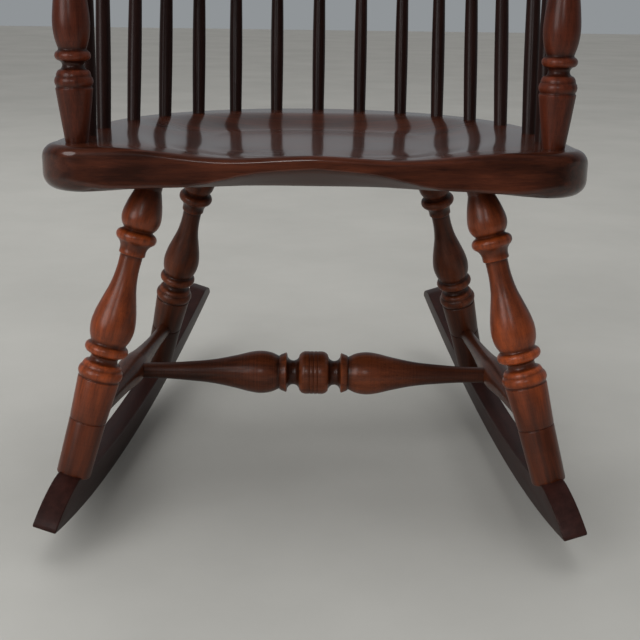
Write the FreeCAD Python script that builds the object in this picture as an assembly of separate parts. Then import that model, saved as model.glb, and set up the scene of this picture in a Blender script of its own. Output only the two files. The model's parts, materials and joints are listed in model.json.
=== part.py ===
# Hoop back rocking chair: a wooden armchair on two curved rockers.
# Fifteen turned spindles rise from a carved plank seat, a bent arm rail runs round them,
# and a bent hoop stands on the rail. Four turned legs, braced by an H of turned stretchers,
# are socketed in the seat above and in the rockers below.
#
# Frame: millimetres, X to the right as the chair is seen from the front, Y to the back, Z up.
# The floor is Z = 0, and the origin is on the floor, midway between the rockers' tips.
# The seat, the arms and the back are laid out on the seat's own flat plane, which leans back.
import FreeCAD, Part
import math
import os

V = FreeCAD.Vector
os.makedirs("parts", exist_ok=True)

# Clearances and overruns
joint_gap = 0.15            # radial gap of a glued round tenon in its socket
socket_spare = 1.0          # depth left below the end of a tenon
same_place = 0.05           # two places nearer than this count as one
overrun = 5.0               # how far a cutting tool runs past what it cuts

# Seat plank
seat_width = 527.0
seat_front = 212.0          # seat origin to the middle of the front edge
seat_side_start = 60.0      # seat origin to where the side becomes the curved back, forwards
seat_back_depth = 294.0     # from there to the back edge
seat_narrowing = 3.5        # how far each side has drawn in at that place
seat_back_half = seat_width / 2 - seat_narrowing
seat_thickness = 44.0
seat_height = 406.57         # floor to the flat rim, at the seat origin
seat_y = -96.66             # seat origin along the rockers
seat_lean = 0.94            # degrees, lower at the back
seat_corner = 46.0          # corner of the front edge, along each side
seat_corner_drop = 6.0      # how far the corner's end lies behind the middle of the front edge
seat_top_round = 13.0
seat_bottom_round = 14.0
dish_depth = 14.0           # deepest place of the carved saddle
dish_margin = 58.5          # side of the seat to the side of the carved saddle
dish_half_width = seat_width / 2 - dish_margin
dish_back = 165.0           # seat origin to the back of the carved saddle
dish_front = 236.0          # and to its front, which runs out past the front edge
dish_wall_share = 0.45      # how much of the saddle is its sloping wall
saddle_lift = 0.4           # the carving tool's surface stands this far above the rim
dish_power = 2.6            # squareness of the saddle's outline
thigh_depth = 6.0           # how far the two thigh hollows lower the front edge
thigh_place = 92.0          # their distance from the middle
thigh_spread = 60.0
thigh_reach = 150.0         # how far they run in from the front edge
front_roll = 4.0            # how far the edge rolls over in the hollows
front_roll_run = 18.0
bevel_rise = 28.0           # scooped bevel below the front edge: up the front face
bevel_run = 52.0            # and back along the underside
bevel_half = 150.0          # half its length

# Turned legs, measured from the foot's end up the leg
leg_pattern = 263.0         # foot to the groove above the upper ring
leg_radius = 22.4           # the fullest place of the long vase
leg_tenon_radius = 12.7
leg_tenon = 27.0
leg_neck = 5.0              # straight part just below the seat
foot_tenon_radius = 7.5
foot_tenon = 24.0
front_leg_inset = 100.3      # side of the seat to the middle of the leg, below the seat
front_leg_x = seat_width / 2 - front_leg_inset
front_leg_y = 141.7         # ahead of the seat origin
rear_leg_inset = 128.1
rear_leg_x = seat_width / 2 - rear_leg_inset
rear_leg_y = 115.5          # behind the seat origin

# Rockers: planks set square to the splayed legs
rocker_radius = 1038.0
rocker_height = 48.0
rocker_thickness = 24.0
rocker_cant = 16.6          # degrees, the top leaning inwards
rocker_toe = 5.24           # degrees, the rear ends drawn together
rocker_inset = 28.3         # side of the seat to the inner bottom edge at the contact with the floor
rocker_x = seat_width / 2 - rocker_inset
rocker_contact_y = -71.6    # where the rockers touch the floor
rocker_front = 281.2        # contact to the front tip, along the rocker
rocker_rear = 426.3         # contact to the rear tip
rocker_edge_round = 1.4
nose_length = 52.0          # the front end's falling curve
nose_tip = 3.0              # thickness left at the tip
nose_bulge = 8.0            # how far that curve stands out from a straight line
tail_length = 68.0
tail_tip = 3.0
tail_bulge = 6.0
front_foot = 209.1          # contact to the front leg's foot, along the rocker
rear_foot = 167.7
foot_seat_depth = 1.8       # flat seat cut in the rocker under each foot
foot_seat_radius = 17.9

# Stretchers
side_front_height = 54.0    # up the front leg from its foot
side_rear_height = 58.0     # up the rear leg
side_bulb_share = 0.495     # place of the bulb, from the front leg
side_bulb_radius = 17.0
side_end_radius = 8.4
medial_radius = 25.2
medial_end_radius = 9.0
leg_surface = 19.0          # leg's middle line to where a side stretcher comes out of it
stretcher_tenon = 13.0      # how far a stretcher's end runs into the leg or bulb

# Spindles and arm posts
spindle_inset = 35.5        # side of the seat to the middles of the side spindles and posts
spindle_half_width = seat_width / 2 - spindle_inset
spindle_side_start = 55.0   # ahead of the seat origin, where the row of feet starts to curve
spindle_back_depth = 262.0  # from there to the rearmost spindle
spindle_foot_radius = 7.4
spindle_swell_radius = 8.0
spindle_rail_radius = 6.0
spindle_top_radius = 4.9
spindle_tenon = 24.0
spindle_rail_tenon = 14.0   # short spindles, into the underside of the rail
spindle_top_length = 66.0   # straight thin end of a long spindle
long_spindle_shares = [0.0, 0.233, 0.456, 0.645, 0.80]  # feet, as shares of the half width
short_foot_y = [46.0, -40.0, -113.0]                    # feet, behind the seat origin
short_top_y = [109.4, -2.0, -93.0]                      # and the tops, in the rail
post_y = 170.0              # arm post, ahead of the seat origin
post_radius = 18.1
post_tenon_radius = 8.0
post_tenon = 24.0
post_top_tenon = 14.0

# Arm rail
arm_height = 225.0          # rim of the seat to the middle of the rail
rail_width = 44.0
rail_thickness = 22.0
rail_half_width = spindle_half_width
rail_side_start = 30.0      # behind the seat origin, where the rail starts to curve
rail_back_depth = 206.0
rail_round = 6.5
arm_front = 217.0           # seat origin to the arm's front end
arm_inner_round = 20.0      # how far back its inner corner is rounded
arm_outer_round = 31.0      # and its outer corner
arm_front_inset = 30.0      # inner side to the foremost place
hand_length = 108.0         # the block that widens the arm's end
hand_width = 28.0           # how far it stands out from the arm

# Hoop
hoop_radius = 12.0          # of its round section
hoop_inset = 25.0           # middle of the rail, at the arms, to the middle of the hoop's foot
hoop_half_width = rail_half_width - hoop_inset
hoop_lean = 22.8            # degrees back from square to the seat
hoop_height = 440.0         # rail's middle to the hoop's top, along the hoop
hoop_shoulder = 25.0        # how much narrower the curve at the top is than the feet
hoop_top_radius = hoop_half_width - hoop_shoulder
hoop_side_turn = 25.0       # degrees that each side bends before the top curve
hoop_tenon_radius = 7.5
hoop_tenon = 15.0

SIDES = {"left": -1, "right": 1}
ROUND_SHARE = 0.5523         # draws a bend into a quarter of an oval
SADDLE_STEPS = 44           # how finely the carved surface is laid out
SADDLE_CROWDING = 1.4       # and how much closer together the lines are near the front

# Turned outlines. Each entry is a kind and the points it runs to, as shares:
# the first number is a share of the outline's length, the second of its fullest radius.
# "line" is straight, "arc" bends through its first point, "curve" runs smoothly through all.
LEG_TURNING_SHARES = [
    ("arc", [(0.002, 0.760), (0.007, 0.777)]),                      # eased edge of the foot
    ("line", [(0.225, 0.835), (0.228, 0.805), (0.232, 0.837)]),     # scribed line
    ("line", [(0.398, 0.955), (0.404, 0.915)]),                     # long foot taper
    ("arc", [(0.426, 1.020), (0.447, 0.905)]),                      # lower bead of the collar
    ("arc", [(0.457, 0.875), (0.466, 0.790)]),                      # upper bead
    ("arc", [(0.483, 0.615), (0.500, 0.790)]),                      # cove
    ("arc", [(0.521, 0.992), (0.541, 0.830)]),                      # ring
    ("line", [(0.547, 0.800)]),
    ("curve", [(0.575, 0.935), (0.616, 1.0), (0.664, 0.935), (0.721, 0.768),
               (0.778, 0.595), (0.840, 0.508), (0.900, 0.505)]),    # long vase and its neck
    ("line", [(0.903, 0.590), (0.913, 0.595)]),                     # fillet
    ("arc", [(0.940, 0.655), (0.955, 0.820)]),                      # flare under the upper ring
    ("arc", [(0.975, 0.915), (0.994, 0.740)]),                      # upper ring
    ("line", [(1.0, 0.655)]),
]
LEG_FOOT_SHARE = 0.735
LEG_HEAD_SHARES = [(0.13, 0.82), (0.30, 0.885), (0.62, 0.79)]
# From a side stretcher's end to its bulb: share of the way, share of the swelling
SIDE_FRONT_SHARES = [(0.35, 0.18), (0.70, 0.55), (0.90, 0.91)]
SIDE_REAR_SHARES = [(0.35, 0.09), (0.70, 0.46), (0.90, 0.91)]
MEDIAL_TURNING_SHARES = [
    ("line", [(0.055, 1.0), (0.085, 0.825)]),                       # barrel and its chamfer
    ("arc", [(0.122, 0.560), (0.158, 0.860)]),                      # cove
    ("line", [(0.163, 0.935)]),                                     # sharp disc
    ("line", [(0.196, 0.835), (0.205, 0.765)]),                     # its hollow and groove
    ("curve", [(0.250, 0.925), (0.310, 0.995), (0.370, 0.945), (0.460, 0.775),
               (0.600, 0.560), (0.740, 0.450), (0.860, 0.385), (1.0, 0.357)]),
]
POST_TURNING_SHARES = [
    ("line", [(0.006, 0.600)]),
    ("curve", [(0.12, 0.790), (0.236, 0.970)]),                     # cone, wide end up
    ("line", [(0.241, 0.920), (0.247, 0.925)]),                     # groove
    ("arc", [(0.268, 1.0), (0.289, 0.900)]),                        # lower bead
    ("arc", [(0.303, 0.870), (0.316, 0.760)]),                      # upper bead
    ("arc", [(0.336, 0.560), (0.356, 0.760)]),                      # cove
    ("arc", [(0.377, 0.930), (0.398, 0.760)]),                      # ring
    ("line", [(0.404, 0.720)]),
    ("curve", [(0.45, 0.880), (0.51, 0.960), (0.60, 0.880), (0.74, 0.640), (0.86, 0.520)]),
    ("arc", [(0.885, 0.640), (0.910, 0.520)]),                      # small bead near the arm
    ("curve", [(0.955, 0.540), (1.0, 0.610)]),
]
POST_FOOT_SHARE = 0.580
# A spindle below the rail: share of the height, share of its fullest radius
SPINDLE_SHARES = [(0.35, 1.0), (0.70, 0.90)]


def curve_through(points, start_way=None, end_way=None):
    """A smooth edge through points, with its end directions where they are given."""
    curve = Part.BSplineCurve()
    if start_way is None:
        curve.interpolate(points)
    else:
        curve.interpolate(Points=points, InitialTangent=start_way, FinalTangent=end_way)
    return curve.toShape()


def outline_edges(start, entries, base, length, radius):
    """Edges of a turned outline in the XZ plane, and the point where it ends."""
    edges = []
    here = start
    for kind, shares in entries:
        points = [V(radius * r, 0, base + length * u) for u, r in shares]
        if kind == "line":
            for point in points:
                edges.append(Part.makeLine(here, point))
                here = point
        elif kind == "arc":
            edges.append(Part.Arc(here, points[0], points[1]).toShape())
            here = points[1]
        else:
            edges.append(curve_through([here] + points))
            here = points[-1]
    return edges, here


def turn(edges, start, end):
    """The solid of revolution about Z of an outline from start up to end."""
    foot = V(0, 0, start.z)
    head = V(0, 0, end.z)
    wire = Part.Wire([Part.makeLine(foot, start)] + edges + [Part.makeLine(end, head), Part.makeLine(head, foot)])
    return Part.Face(wire).revolve(V(0, 0, 0), V(0, 0, 1), 360)


def aim(shape, base, tip):
    """Moves a shape turned about Z so that it stands on base and points at tip."""
    turned = shape.copy()
    turned.Placement = FreeCAD.Placement(base, FreeCAD.Rotation(V(0, 0, 1), tip - base))
    return turned


def rod(base, tip, radius, before, after):
    """A round bar along base to tip, run out past both ends."""
    way = (tip - base).normalize()
    start = base - way * before
    return Part.makeCylinder(radius, (tip - base).Length + before + after, start, way)


def mirrored(shape):
    return shape.mirror(V(0, 0, 0), V(1, 0, 0))


# The seat's own frame: origin on the flat rim, and square to the leaning plank
seat_place = FreeCAD.Placement(V(0, seat_y, seat_height), FreeCAD.Rotation(V(1, 0, 0), -seat_lean))


def on_seat(x, y, z):
    """A point of the seat's frame, in the chair's frame."""
    return seat_place.multVec(V(x, y, z))


def placed(shape):
    moved = shape.copy()
    moved.Placement = seat_place.multiply(shape.Placement)
    return moved


def half_ellipse(half_width, depth, start):
    """The back curve of the seat or of the rail, from the right side to the left."""
    at_side = V(half_width, start, 0)
    at_back = V(0, start + depth, 0)
    centre = V(0, start, 0)
    if half_width > depth:
        return Part.Arc(Part.Ellipse(at_side, at_back, centre), 0, math.pi).toShape()
    ellipse = Part.Ellipse(at_back, V(-half_width, start, 0), centre)
    return Part.Arc(ellipse, -math.pi / 2, math.pi / 2).toShape()


def curve_x(y, half_width, start, depth):
    """Half width at y of a row that is straight up to start and curved behind it."""
    if y <= start:
        return half_width
    return half_width * math.sqrt(1 - ((y - start) / depth) ** 2)


def curve_y(x, half_width, start, depth):
    """How far back the curved part of such a row lies at x."""
    return start + depth * math.sqrt(1 - (x / half_width) ** 2)


def smooth_step(share):
    """Runs from 0 to 1 with no corner at either end."""
    held = min(1.0, max(0.0, share))
    return held * held * (3 - 2 * held)


def box(low, high):
    size = high - low
    return Part.makeBox(size.x, size.y, size.z, low)


def seat_outline():
    corner_x = seat_width / 2
    corner_y = seat_corner_drop - seat_front + seat_corner
    front_x = corner_x - seat_corner
    front_y = seat_corner_drop - seat_front
    diagonal = seat_corner * math.sqrt(1 / 2)
    backwards = V(0, 1, 0)
    front = Part.Arc(V(-front_x, front_y, 0), V(0, -seat_front, 0), V(front_x, front_y, 0)).toShape()
    right_corner = Part.Arc(V(front_x, front_y, 0), V(front_x + diagonal, corner_y - diagonal, 0),
                            V(corner_x, corner_y, 0)).toShape()
    left_corner = Part.Arc(V(-corner_x, corner_y, 0), V(-front_x - diagonal, corner_y - diagonal, 0),
                           V(-front_x, front_y, 0)).toShape()
    right = curve_through([V(corner_x, corner_y, 0), V(seat_back_half, -seat_side_start, 0)],
                          backwards, backwards)
    left = curve_through([V(-seat_back_half, -seat_side_start, 0), V(-corner_x, corner_y, 0)],
                         -backwards, -backwards)
    back = half_ellipse(seat_back_half, seat_back_depth, -seat_side_start)
    return Part.Wire([front, right_corner, right, back, left, left_corner])


def saddle_depth(x, y):
    """How far the carved top lies below the flat rim, at a place on the seat."""
    dish_reach = dish_back if y > 0 else dish_front
    ring = (abs(x) / dish_half_width) ** dish_power + (abs(y) / dish_reach) ** dish_power
    bowl = dish_depth * smooth_step((1 - ring ** (1 / dish_power)) / dish_wall_share)
    from_front = y + seat_front
    hollow = math.exp(-(((abs(x) - thigh_place) / thigh_spread) ** 2))
    run_in = smooth_step(1 - from_front / thigh_reach)
    roll = front_roll * max(0.0, 1 - from_front / front_roll_run) ** 2
    return bowl + hollow * (thigh_depth * run_in + roll)


def make_saddle_tool():
    """What the carver takes off the top: everything above a smooth dished surface."""
    reach_x = seat_width / 2 + overrun
    low_y = -seat_front - overrun
    high_y = dish_back + 2 * overrun
    rows = []
    for i in range(SADDLE_STEPS + 1):
        x = reach_x * (2 * i / SADDLE_STEPS - 1)
        row = []
        for j in range(SADDLE_STEPS + 1):
            y = low_y + (high_y - low_y) * (j / SADDLE_STEPS) ** SADDLE_CROWDING
            row.append(V(x, y, saddle_lift - saddle_depth(x, y)))
        rows.append(row)
    surface = Part.BSplineSurface()
    surface.interpolate(rows)
    return surface.toShape().extrude(V(0, 0, seat_thickness))


def make_bevel_tool():
    """A big round cutter that takes a scooped bevel off the lower front edge."""
    across = math.hypot(bevel_rise, bevel_run)
    middle_depth = bevel_rise * bevel_run / across
    radius = (bevel_half ** 2 + middle_depth ** 2) / (2 * middle_depth)
    way = V(0, bevel_run / across, -bevel_rise / across)
    outward = V(0, -bevel_rise / across, -bevel_run / across)
    on_front = V(0, -seat_front, bevel_rise - seat_thickness)
    start = on_front + outward * radius - way * seat_thickness
    return Part.makeCylinder(radius, across + 2 * seat_thickness, start, way)


def level_edges(shape, level):
    return [e for e in shape.Edges if all(abs(v.Z - level) < same_place for v in e.Vertexes)]


def make_seat_plank():
    plank = Part.Face(seat_outline()).extrude(V(0, 0, -seat_thickness))
    plank = plank.makeFillet(seat_top_round, level_edges(plank, 0))
    plank = plank.makeFillet(seat_bottom_round, level_edges(plank, -seat_thickness))
    return plank.cut(make_bevel_tool()).cut(make_saddle_tool())


def bulged(start, end, bulge):
    """An arc from start to end that stands out upwards by bulge."""
    way = (end - start).normalize()
    side = V(-way.y, way.x, 0)
    if side.y < 0:
        side = -side
    return Part.Arc(start, (start + end) * 0.5 + side * bulge, end).toShape()


# The right rocker's own directions: along it, up its plank, and across it to the outside
toe_rad = math.radians(rocker_toe)
cant_rad = math.radians(rocker_cant)
rocker_outward = V(math.cos(toe_rad), math.sin(toe_rad), 0)
rocker_along = V(-math.sin(toe_rad), math.cos(toe_rad), 0)
rocker_up = V(0, 0, math.cos(cant_rad)) - rocker_outward * math.sin(cant_rad)
rocker_across = rocker_outward * math.cos(cant_rad) + V(0, 0, math.sin(cant_rad))
# The lower inner corner is eased, so the sharp corner would lie a little below the floor
rocker_base = V(rocker_x, rocker_contact_y, rocker_edge_round * (1 - math.sin(cant_rad) - math.cos(cant_rad)))


def rocker_level(s, radius):
    """Height in the plank, at s along it, of the arc that is radius from the arcs' centre."""
    return rocker_radius - math.sqrt(radius ** 2 - s ** 2)


def rocker_outline():
    top_radius = rocker_radius - rocker_height
    nose = nose_length - rocker_front
    tail = rocker_rear - tail_length
    tip_low = V(-rocker_front, rocker_level(rocker_front, rocker_radius), 0)
    tip_high = tip_low + V(0, nose_tip, 0)
    nose_start = V(nose, rocker_level(nose, top_radius), 0)
    tail_start = V(tail, rocker_level(tail, top_radius), 0)
    end_low = V(rocker_rear, rocker_level(rocker_rear, rocker_radius), 0)
    end_high = end_low + V(0, tail_tip, 0)
    return Part.Wire([
        Part.Arc(tip_low, V(0, 0, 0), end_low).toShape(),
        Part.makeLine(end_low, end_high),
        bulged(end_high, tail_start, tail_bulge),
        Part.Arc(tail_start, V(0, rocker_height, 0), nose_start).toShape(),
        bulged(nose_start, tip_high, nose_bulge),
        Part.makeLine(tip_high, tip_low),
    ])


def make_rocker():
    plank = Part.Face(rocker_outline()).extrude(V(0, 0, rocker_thickness))
    plank = plank.makeFillet(rocker_edge_round, level_edges(plank, 0) + level_edges(plank, rocker_thickness))
    a, u, c, o = rocker_along, rocker_up, rocker_across, rocker_base
    plank.Placement = FreeCAD.Placement(FreeCAD.Matrix(
        a.x, u.x, c.x, o.x, a.y, u.y, c.y, o.y, a.z, u.z, c.z, o.z, 0, 0, 0, 1))
    return plank


class Leg:
    """Where one right-hand leg stands, and what it takes out of the seat and the rocker."""

    def __init__(self, foot_place, seat_x, seat_back):
        up = rocker_level(foot_place, rocker_radius - rocker_height)
        on_rocker = (rocker_base + rocker_along * foot_place + rocker_up * up +
                     rocker_across * (rocker_thickness / 2))
        self.top = on_seat(seat_x, seat_back, -seat_thickness)
        self.way = (self.top - on_rocker).normalize()
        self.foot = on_rocker - self.way * foot_seat_depth
        self.length = (self.top - self.foot).Length

    def at(self, height):
        return self.foot + self.way * height

    def make(self):
        start = V(leg_radius * LEG_FOOT_SHARE, 0, 0)
        edges, groove = outline_edges(start, LEG_TURNING_SHARES, 0, leg_pattern, leg_radius)
        head = self.length - leg_neck - leg_pattern
        points = [V(leg_radius * r, 0, leg_pattern + head * u) for u, r in LEG_HEAD_SHARES]
        neck = V(leg_tenon_radius, 0, leg_pattern + head)
        end = V(leg_tenon_radius, 0, self.length + leg_tenon)
        edges += [curve_through([groove] + points + [neck]), Part.makeLine(neck, end)]
        body = turn(edges, start, end)
        body = body.fuse(Part.makeCylinder(foot_tenon_radius, foot_tenon, V(0, 0, -foot_tenon)))
        return aim(body, self.foot, self.top)

    def rocker_cut(self):
        flat = Part.makeCylinder(foot_seat_radius, foot_seat_radius, self.foot, self.way)
        hole = rod(self.at(-foot_tenon), self.foot, foot_tenon_radius + joint_gap, socket_spare, overrun)
        return flat.fuse(hole)

    def seat_cut(self):
        return rod(self.top, self.at(self.length + leg_tenon), leg_tenon_radius + joint_gap,
                   seat_thickness, socket_spare)


def make_side_stretcher(front, rear):
    """Swells to a bulb where the middle stretcher goes in, and thins to both legs."""
    length = (rear - front).Length
    bulb_at = length * side_bulb_share
    swell = side_bulb_radius - side_end_radius
    start = V(side_end_radius, 0, leg_surface)
    end = V(side_end_radius, 0, length - leg_surface)
    bulb = V(side_bulb_radius, 0, bulb_at)
    rise = [V(side_end_radius + swell * r, 0, start.z + (bulb_at - start.z) * u) for u, r in SIDE_FRONT_SHARES]
    fall = [V(side_end_radius + swell * r, 0, end.z + (bulb_at - end.z) * u) for u, r in SIDE_REAR_SHARES]
    body = turn([curve_through([start] + rise + [bulb] + fall[::-1] + [end])], start, end)
    for low in (start.z - stretcher_tenon, end.z):
        body = body.fuse(Part.makeCylinder(side_end_radius, stretcher_tenon, V(0, 0, low)))
    return aim(body.removeSplitter(), front, rear)


def side_stretcher_cut(leg_point, other):
    """The blind hole for a side stretcher's end, in the leg at leg_point."""
    way = (other - leg_point).normalize()
    depth = stretcher_tenon + socket_spare
    start = leg_point + way * (leg_surface - depth)
    return Part.makeCylinder(side_end_radius + joint_gap, depth + overrun, start, way)


def make_medial_stretcher(half):
    """Barrel, coves, discs and two long vases, alike on both sides of the middle."""
    pattern = half - side_bulb_radius
    start = V(medial_radius, 0, 0)
    edges, last = outline_edges(start, MEDIAL_TURNING_SHARES, 0, pattern, medial_radius)
    neck = V(medial_end_radius, 0, pattern)
    end = neck + V(0, 0, stretcher_tenon)
    wing = turn(edges + [Part.makeLine(last, neck), Part.makeLine(neck, end)], start, end)
    return wing.fuse(wing.mirror(V(0, 0, 0), V(0, 0, 1))).removeSplitter()


# The arm rail's faces, in the seat's frame
rail_under = arm_height - rail_thickness / 2
rail_top = arm_height + rail_thickness / 2

# The hoop stands on the rail, in a plane that leans back
hoop_lean_rad = math.radians(hoop_lean)
hoop_turn_rad = math.radians(hoop_side_turn)
hoop_side_radius = (hoop_half_width - hoop_top_radius * math.cos(hoop_turn_rad)) / (1 - math.cos(hoop_turn_rad))
hoop_side_centre = hoop_half_width - hoop_side_radius
hoop_top_centre = hoop_height - hoop_top_radius
hoop_side_start = hoop_top_centre - (hoop_side_radius - hoop_top_radius) * math.sin(hoop_turn_rad)
hoop_y = curve_y(hoop_half_width, rail_half_width, rail_side_start, rail_back_depth)


def on_hoop(x, up):
    """A point of the hoop's plane, in the seat's frame."""
    return V(x, hoop_y + up * math.sin(hoop_lean_rad), arm_height + up * math.cos(hoop_lean_rad))


def hoop_up(x):
    """How far up its plane the hoop's middle line is at x."""
    if abs(x) <= hoop_top_radius * math.cos(hoop_turn_rad):
        return hoop_top_centre + math.sqrt(hoop_top_radius ** 2 - x ** 2)
    return hoop_side_start + math.sqrt(hoop_side_radius ** 2 - (abs(x) - hoop_side_centre) ** 2)


def hoop_side_point(turned_share, sign):
    angle = hoop_turn_rad * turned_share
    return on_hoop(sign * (hoop_side_centre + hoop_side_radius * math.cos(angle)),
                   hoop_side_start + hoop_side_radius * math.sin(angle))


def make_hoop():
    right, right_middle, right_high = [hoop_side_point(share, 1) for share in (0, 0.5, 1)]
    left, left_middle, left_high = [hoop_side_point(share, -1) for share in (0, 0.5, 1)]
    right_foot = on_hoop(hoop_half_width, 0)
    left_foot = on_hoop(-hoop_half_width, 0)
    path = Part.Wire([
        Part.makeLine(right_foot, right),
        Part.Arc(right, right_middle, right_high).toShape(),
        Part.Arc(right_high, on_hoop(0, hoop_height), left_high).toShape(),
        Part.Arc(left_high, left_middle, left).toShape(),
        Part.makeLine(left, left_foot),
    ])
    way = (right - right_foot).normalize()
    section = Part.Wire([Part.Circle(right_foot, way, hoop_radius).toShape()])
    body = path.makePipeShell([section], True, False)
    reach = V(hoop_half_width + 2 * hoop_radius, 2 * hoop_half_width, 0)
    below = box(V(-reach.x, -reach.y, 0), V(reach.x, reach.y, rail_top))
    body = body.cut(below)
    for sign in SIDES.values():
        body = body.fuse(hoop_tenon_rod(sign, 0, 0))
    return body


def hoop_tenon_rod(sign, gap, spare):
    """The hoop's round tenon in the rail, or with a gap and spare depth the hole for it."""
    top = rail_thickness / 2 / math.cos(hoop_lean_rad)
    base = on_hoop(sign * hoop_half_width, top - hoop_tenon)
    tip = on_hoop(sign * hoop_half_width, top + hoop_radius)
    return rod(base, tip, hoop_tenon_radius + gap, spare, 0)


def spindle_lines():
    """Node name, foot and far end of every spindle, in the seat's frame."""
    lines = []
    for number, share in enumerate(long_spindle_shares):
        x = share * spindle_half_width
        foot_y = curve_y(x, spindle_half_width, -spindle_side_start, spindle_back_depth)
        if number == 0:
            lines.append(("long_spindle_middle", V(0, foot_y, 0), on_hoop(0, hoop_up(0))))
            continue
        for side, sign in SIDES.items():
            name = "long_spindle_%s_%d" % (side, number)
            lines.append((name, V(sign * x, foot_y, 0), on_hoop(sign * x, hoop_up(x))))
    for number, (foot_y, top_y) in enumerate(zip(short_foot_y, short_top_y)):
        foot_x = curve_x(foot_y, spindle_half_width, -spindle_side_start, spindle_back_depth)
        top_x = curve_x(top_y, rail_half_width, rail_side_start, rail_back_depth)
        for side, sign in SIDES.items():
            name = "short_spindle_%s_%d" % (side, number + 1)
            lines.append((name, V(sign * foot_x, foot_y, 0), V(sign * top_x, top_y, arm_height)))
    return lines


def up_line(foot, tip, level):
    """How far along the line from foot to tip a height above the seat is reached."""
    return (tip - foot).Length * level / tip.z


def make_spindle(foot, tip):
    """A turned spindle, from its tenon in the seat to its end in the rail or in the hoop."""
    to_rail = up_line(foot, tip, rail_under)
    start = V(spindle_foot_radius, 0, 0)
    at_rail = V(spindle_rail_radius, 0, to_rail - overrun)
    points = [V(spindle_swell_radius * r, 0, to_rail * u) for u, r in SPINDLE_SHARES]
    edges = [curve_through([start] + points + [at_rail])]
    if tip.z > rail_top:
        length = (tip - foot).Length
        past_rail = V(spindle_rail_radius, 0, up_line(foot, tip, rail_top) + overrun)
        at_hoop = V(spindle_top_radius, 0, length - spindle_top_length)
        end = V(spindle_top_radius, 0, length)
        edges += [Part.makeLine(at_rail, past_rail), Part.makeLine(past_rail, at_hoop), Part.makeLine(at_hoop, end)]
    else:
        end = V(spindle_rail_radius, 0, to_rail + spindle_rail_tenon)
        edges.append(Part.makeLine(at_rail, end))
    body = turn(edges, start, end)
    body = body.fuse(Part.makeCylinder(spindle_foot_radius, spindle_tenon, V(0, 0, -spindle_tenon)))
    return aim(body.removeSplitter(), foot, tip)


def seat_hole(foot, tip, radius, tenon):
    """A blind hole in the seat for the tenon of a spindle or post that stands on foot."""
    way = (tip - foot).normalize()
    return rod(foot - way * tenon, foot, radius + joint_gap, socket_spare, overrun)


def rail_hole(foot, tip):
    """The hole a spindle needs in the rail: blind for a short one, through for a long one."""
    way = (tip - foot).normalize()
    under = foot + way * up_line(foot, tip, rail_under)
    depth = spindle_rail_tenon + socket_spare
    if tip.z > rail_top:
        depth = up_line(foot, tip, rail_thickness) + overrun
    return rod(under, under + way * depth, spindle_rail_radius + joint_gap, overrun, 0)


def hoop_hole(foot, tip):
    way = (tip - foot).normalize()
    return rod(tip - way * spindle_top_length, tip, spindle_top_radius + joint_gap, 0, socket_spare)


def make_post():
    """An arm post, standing on the origin, with its tenons at both ends."""
    start = V(post_radius * POST_FOOT_SHARE, 0, 0)
    edges, end = outline_edges(start, POST_TURNING_SHARES, 0, rail_under, post_radius)
    body = turn(edges, start, end)
    tenons = Part.makeCylinder(post_tenon_radius, post_tenon + rail_under + post_top_tenon, V(0, 0, -post_tenon))
    return body.fuse(tenons).removeSplitter()


def bend(start, first, second, end):
    """A smooth bend from start to end, drawn towards the two places between them."""
    curve = Part.BezierCurve()
    curve.setPoles([start, first, second, end])
    return curve.toShape()


def rounded(start, corner, end):
    """A quarter of an oval, in place of a square corner."""
    return bend(start, start + (corner - start) * ROUND_SHARE, end + (corner - end) * ROUND_SHARE, end)


def rail_outline():
    """The bent rail and both shaped arm ends, as one closed line."""
    half = rail_width / 2
    inner = rail_half_width - half
    outer = rail_half_width + half
    wide = outer + hand_width
    inner_back = V(inner, rail_side_start, 0)
    inner_end = V(inner, arm_inner_round - arm_front, 0)
    foremost = V(inner + arm_front_inset, -arm_front, 0)
    widest = V(wide, arm_outer_round - arm_front, 0)
    block_back = V(outer, hand_length - arm_front, 0)
    reach = V(0, (block_back.y - widest.y) / 2, 0)
    right = [
        Part.makeLine(inner_back, inner_end),
        rounded(inner_end, V(inner, -arm_front, 0), foremost),
        rounded(foremost, V(wide, -arm_front, 0), widest),
        bend(widest, widest + reach, block_back - reach, block_back),
        Part.makeLine(block_back, V(outer, rail_side_start, 0)),
    ]
    outer_curve = half_ellipse(outer, rail_back_depth + half, rail_side_start)
    inner_curve = half_ellipse(inner, rail_back_depth - half, rail_side_start)
    left = [mirrored(edge) for edge in right]
    return Part.Wire(Part.__sortEdges__(right + [outer_curve] + left + [inner_curve]))


def make_rail():
    """The rail, and apart from it the block glued to the outside of each arm's end."""
    whole = Part.Face(rail_outline()).extrude(V(0, 0, rail_thickness))
    whole.translate(V(0, 0, rail_under))
    rims = level_edges(whole, rail_under) + level_edges(whole, rail_top)
    whole = whole.makeFillet(rail_round, rims)
    outer = rail_half_width + rail_width / 2
    low = V(outer, -arm_front - overrun, 0)
    high = V(outer + 2 * hand_width, hand_length - arm_front + overrun, arm_height + rail_thickness)
    right_side = box(low, high)
    blocks = {"right": whole.common(right_side), "left": whole.common(mirrored(right_side))}
    return whole.cut(right_side).cut(mirrored(right_side)), blocks


def only_solid(shape):
    solids = shape.Solids
    if len(solids) != 1:
        solids = sorted(solids, key=lambda solid: solid.Volume)
        print("pieces", [round(solid.Volume) for solid in solids])
    return solids[-1]


nodes = {}
front_leg = Leg(-front_foot, front_leg_x, -front_leg_y)
rear_leg = Leg(rear_foot, rear_leg_x, rear_leg_y)
stretcher_front = front_leg.at(side_front_height)
stretcher_rear = rear_leg.at(side_rear_height)
bulb = stretcher_front + (stretcher_rear - stretcher_front) * side_bulb_share

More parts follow.
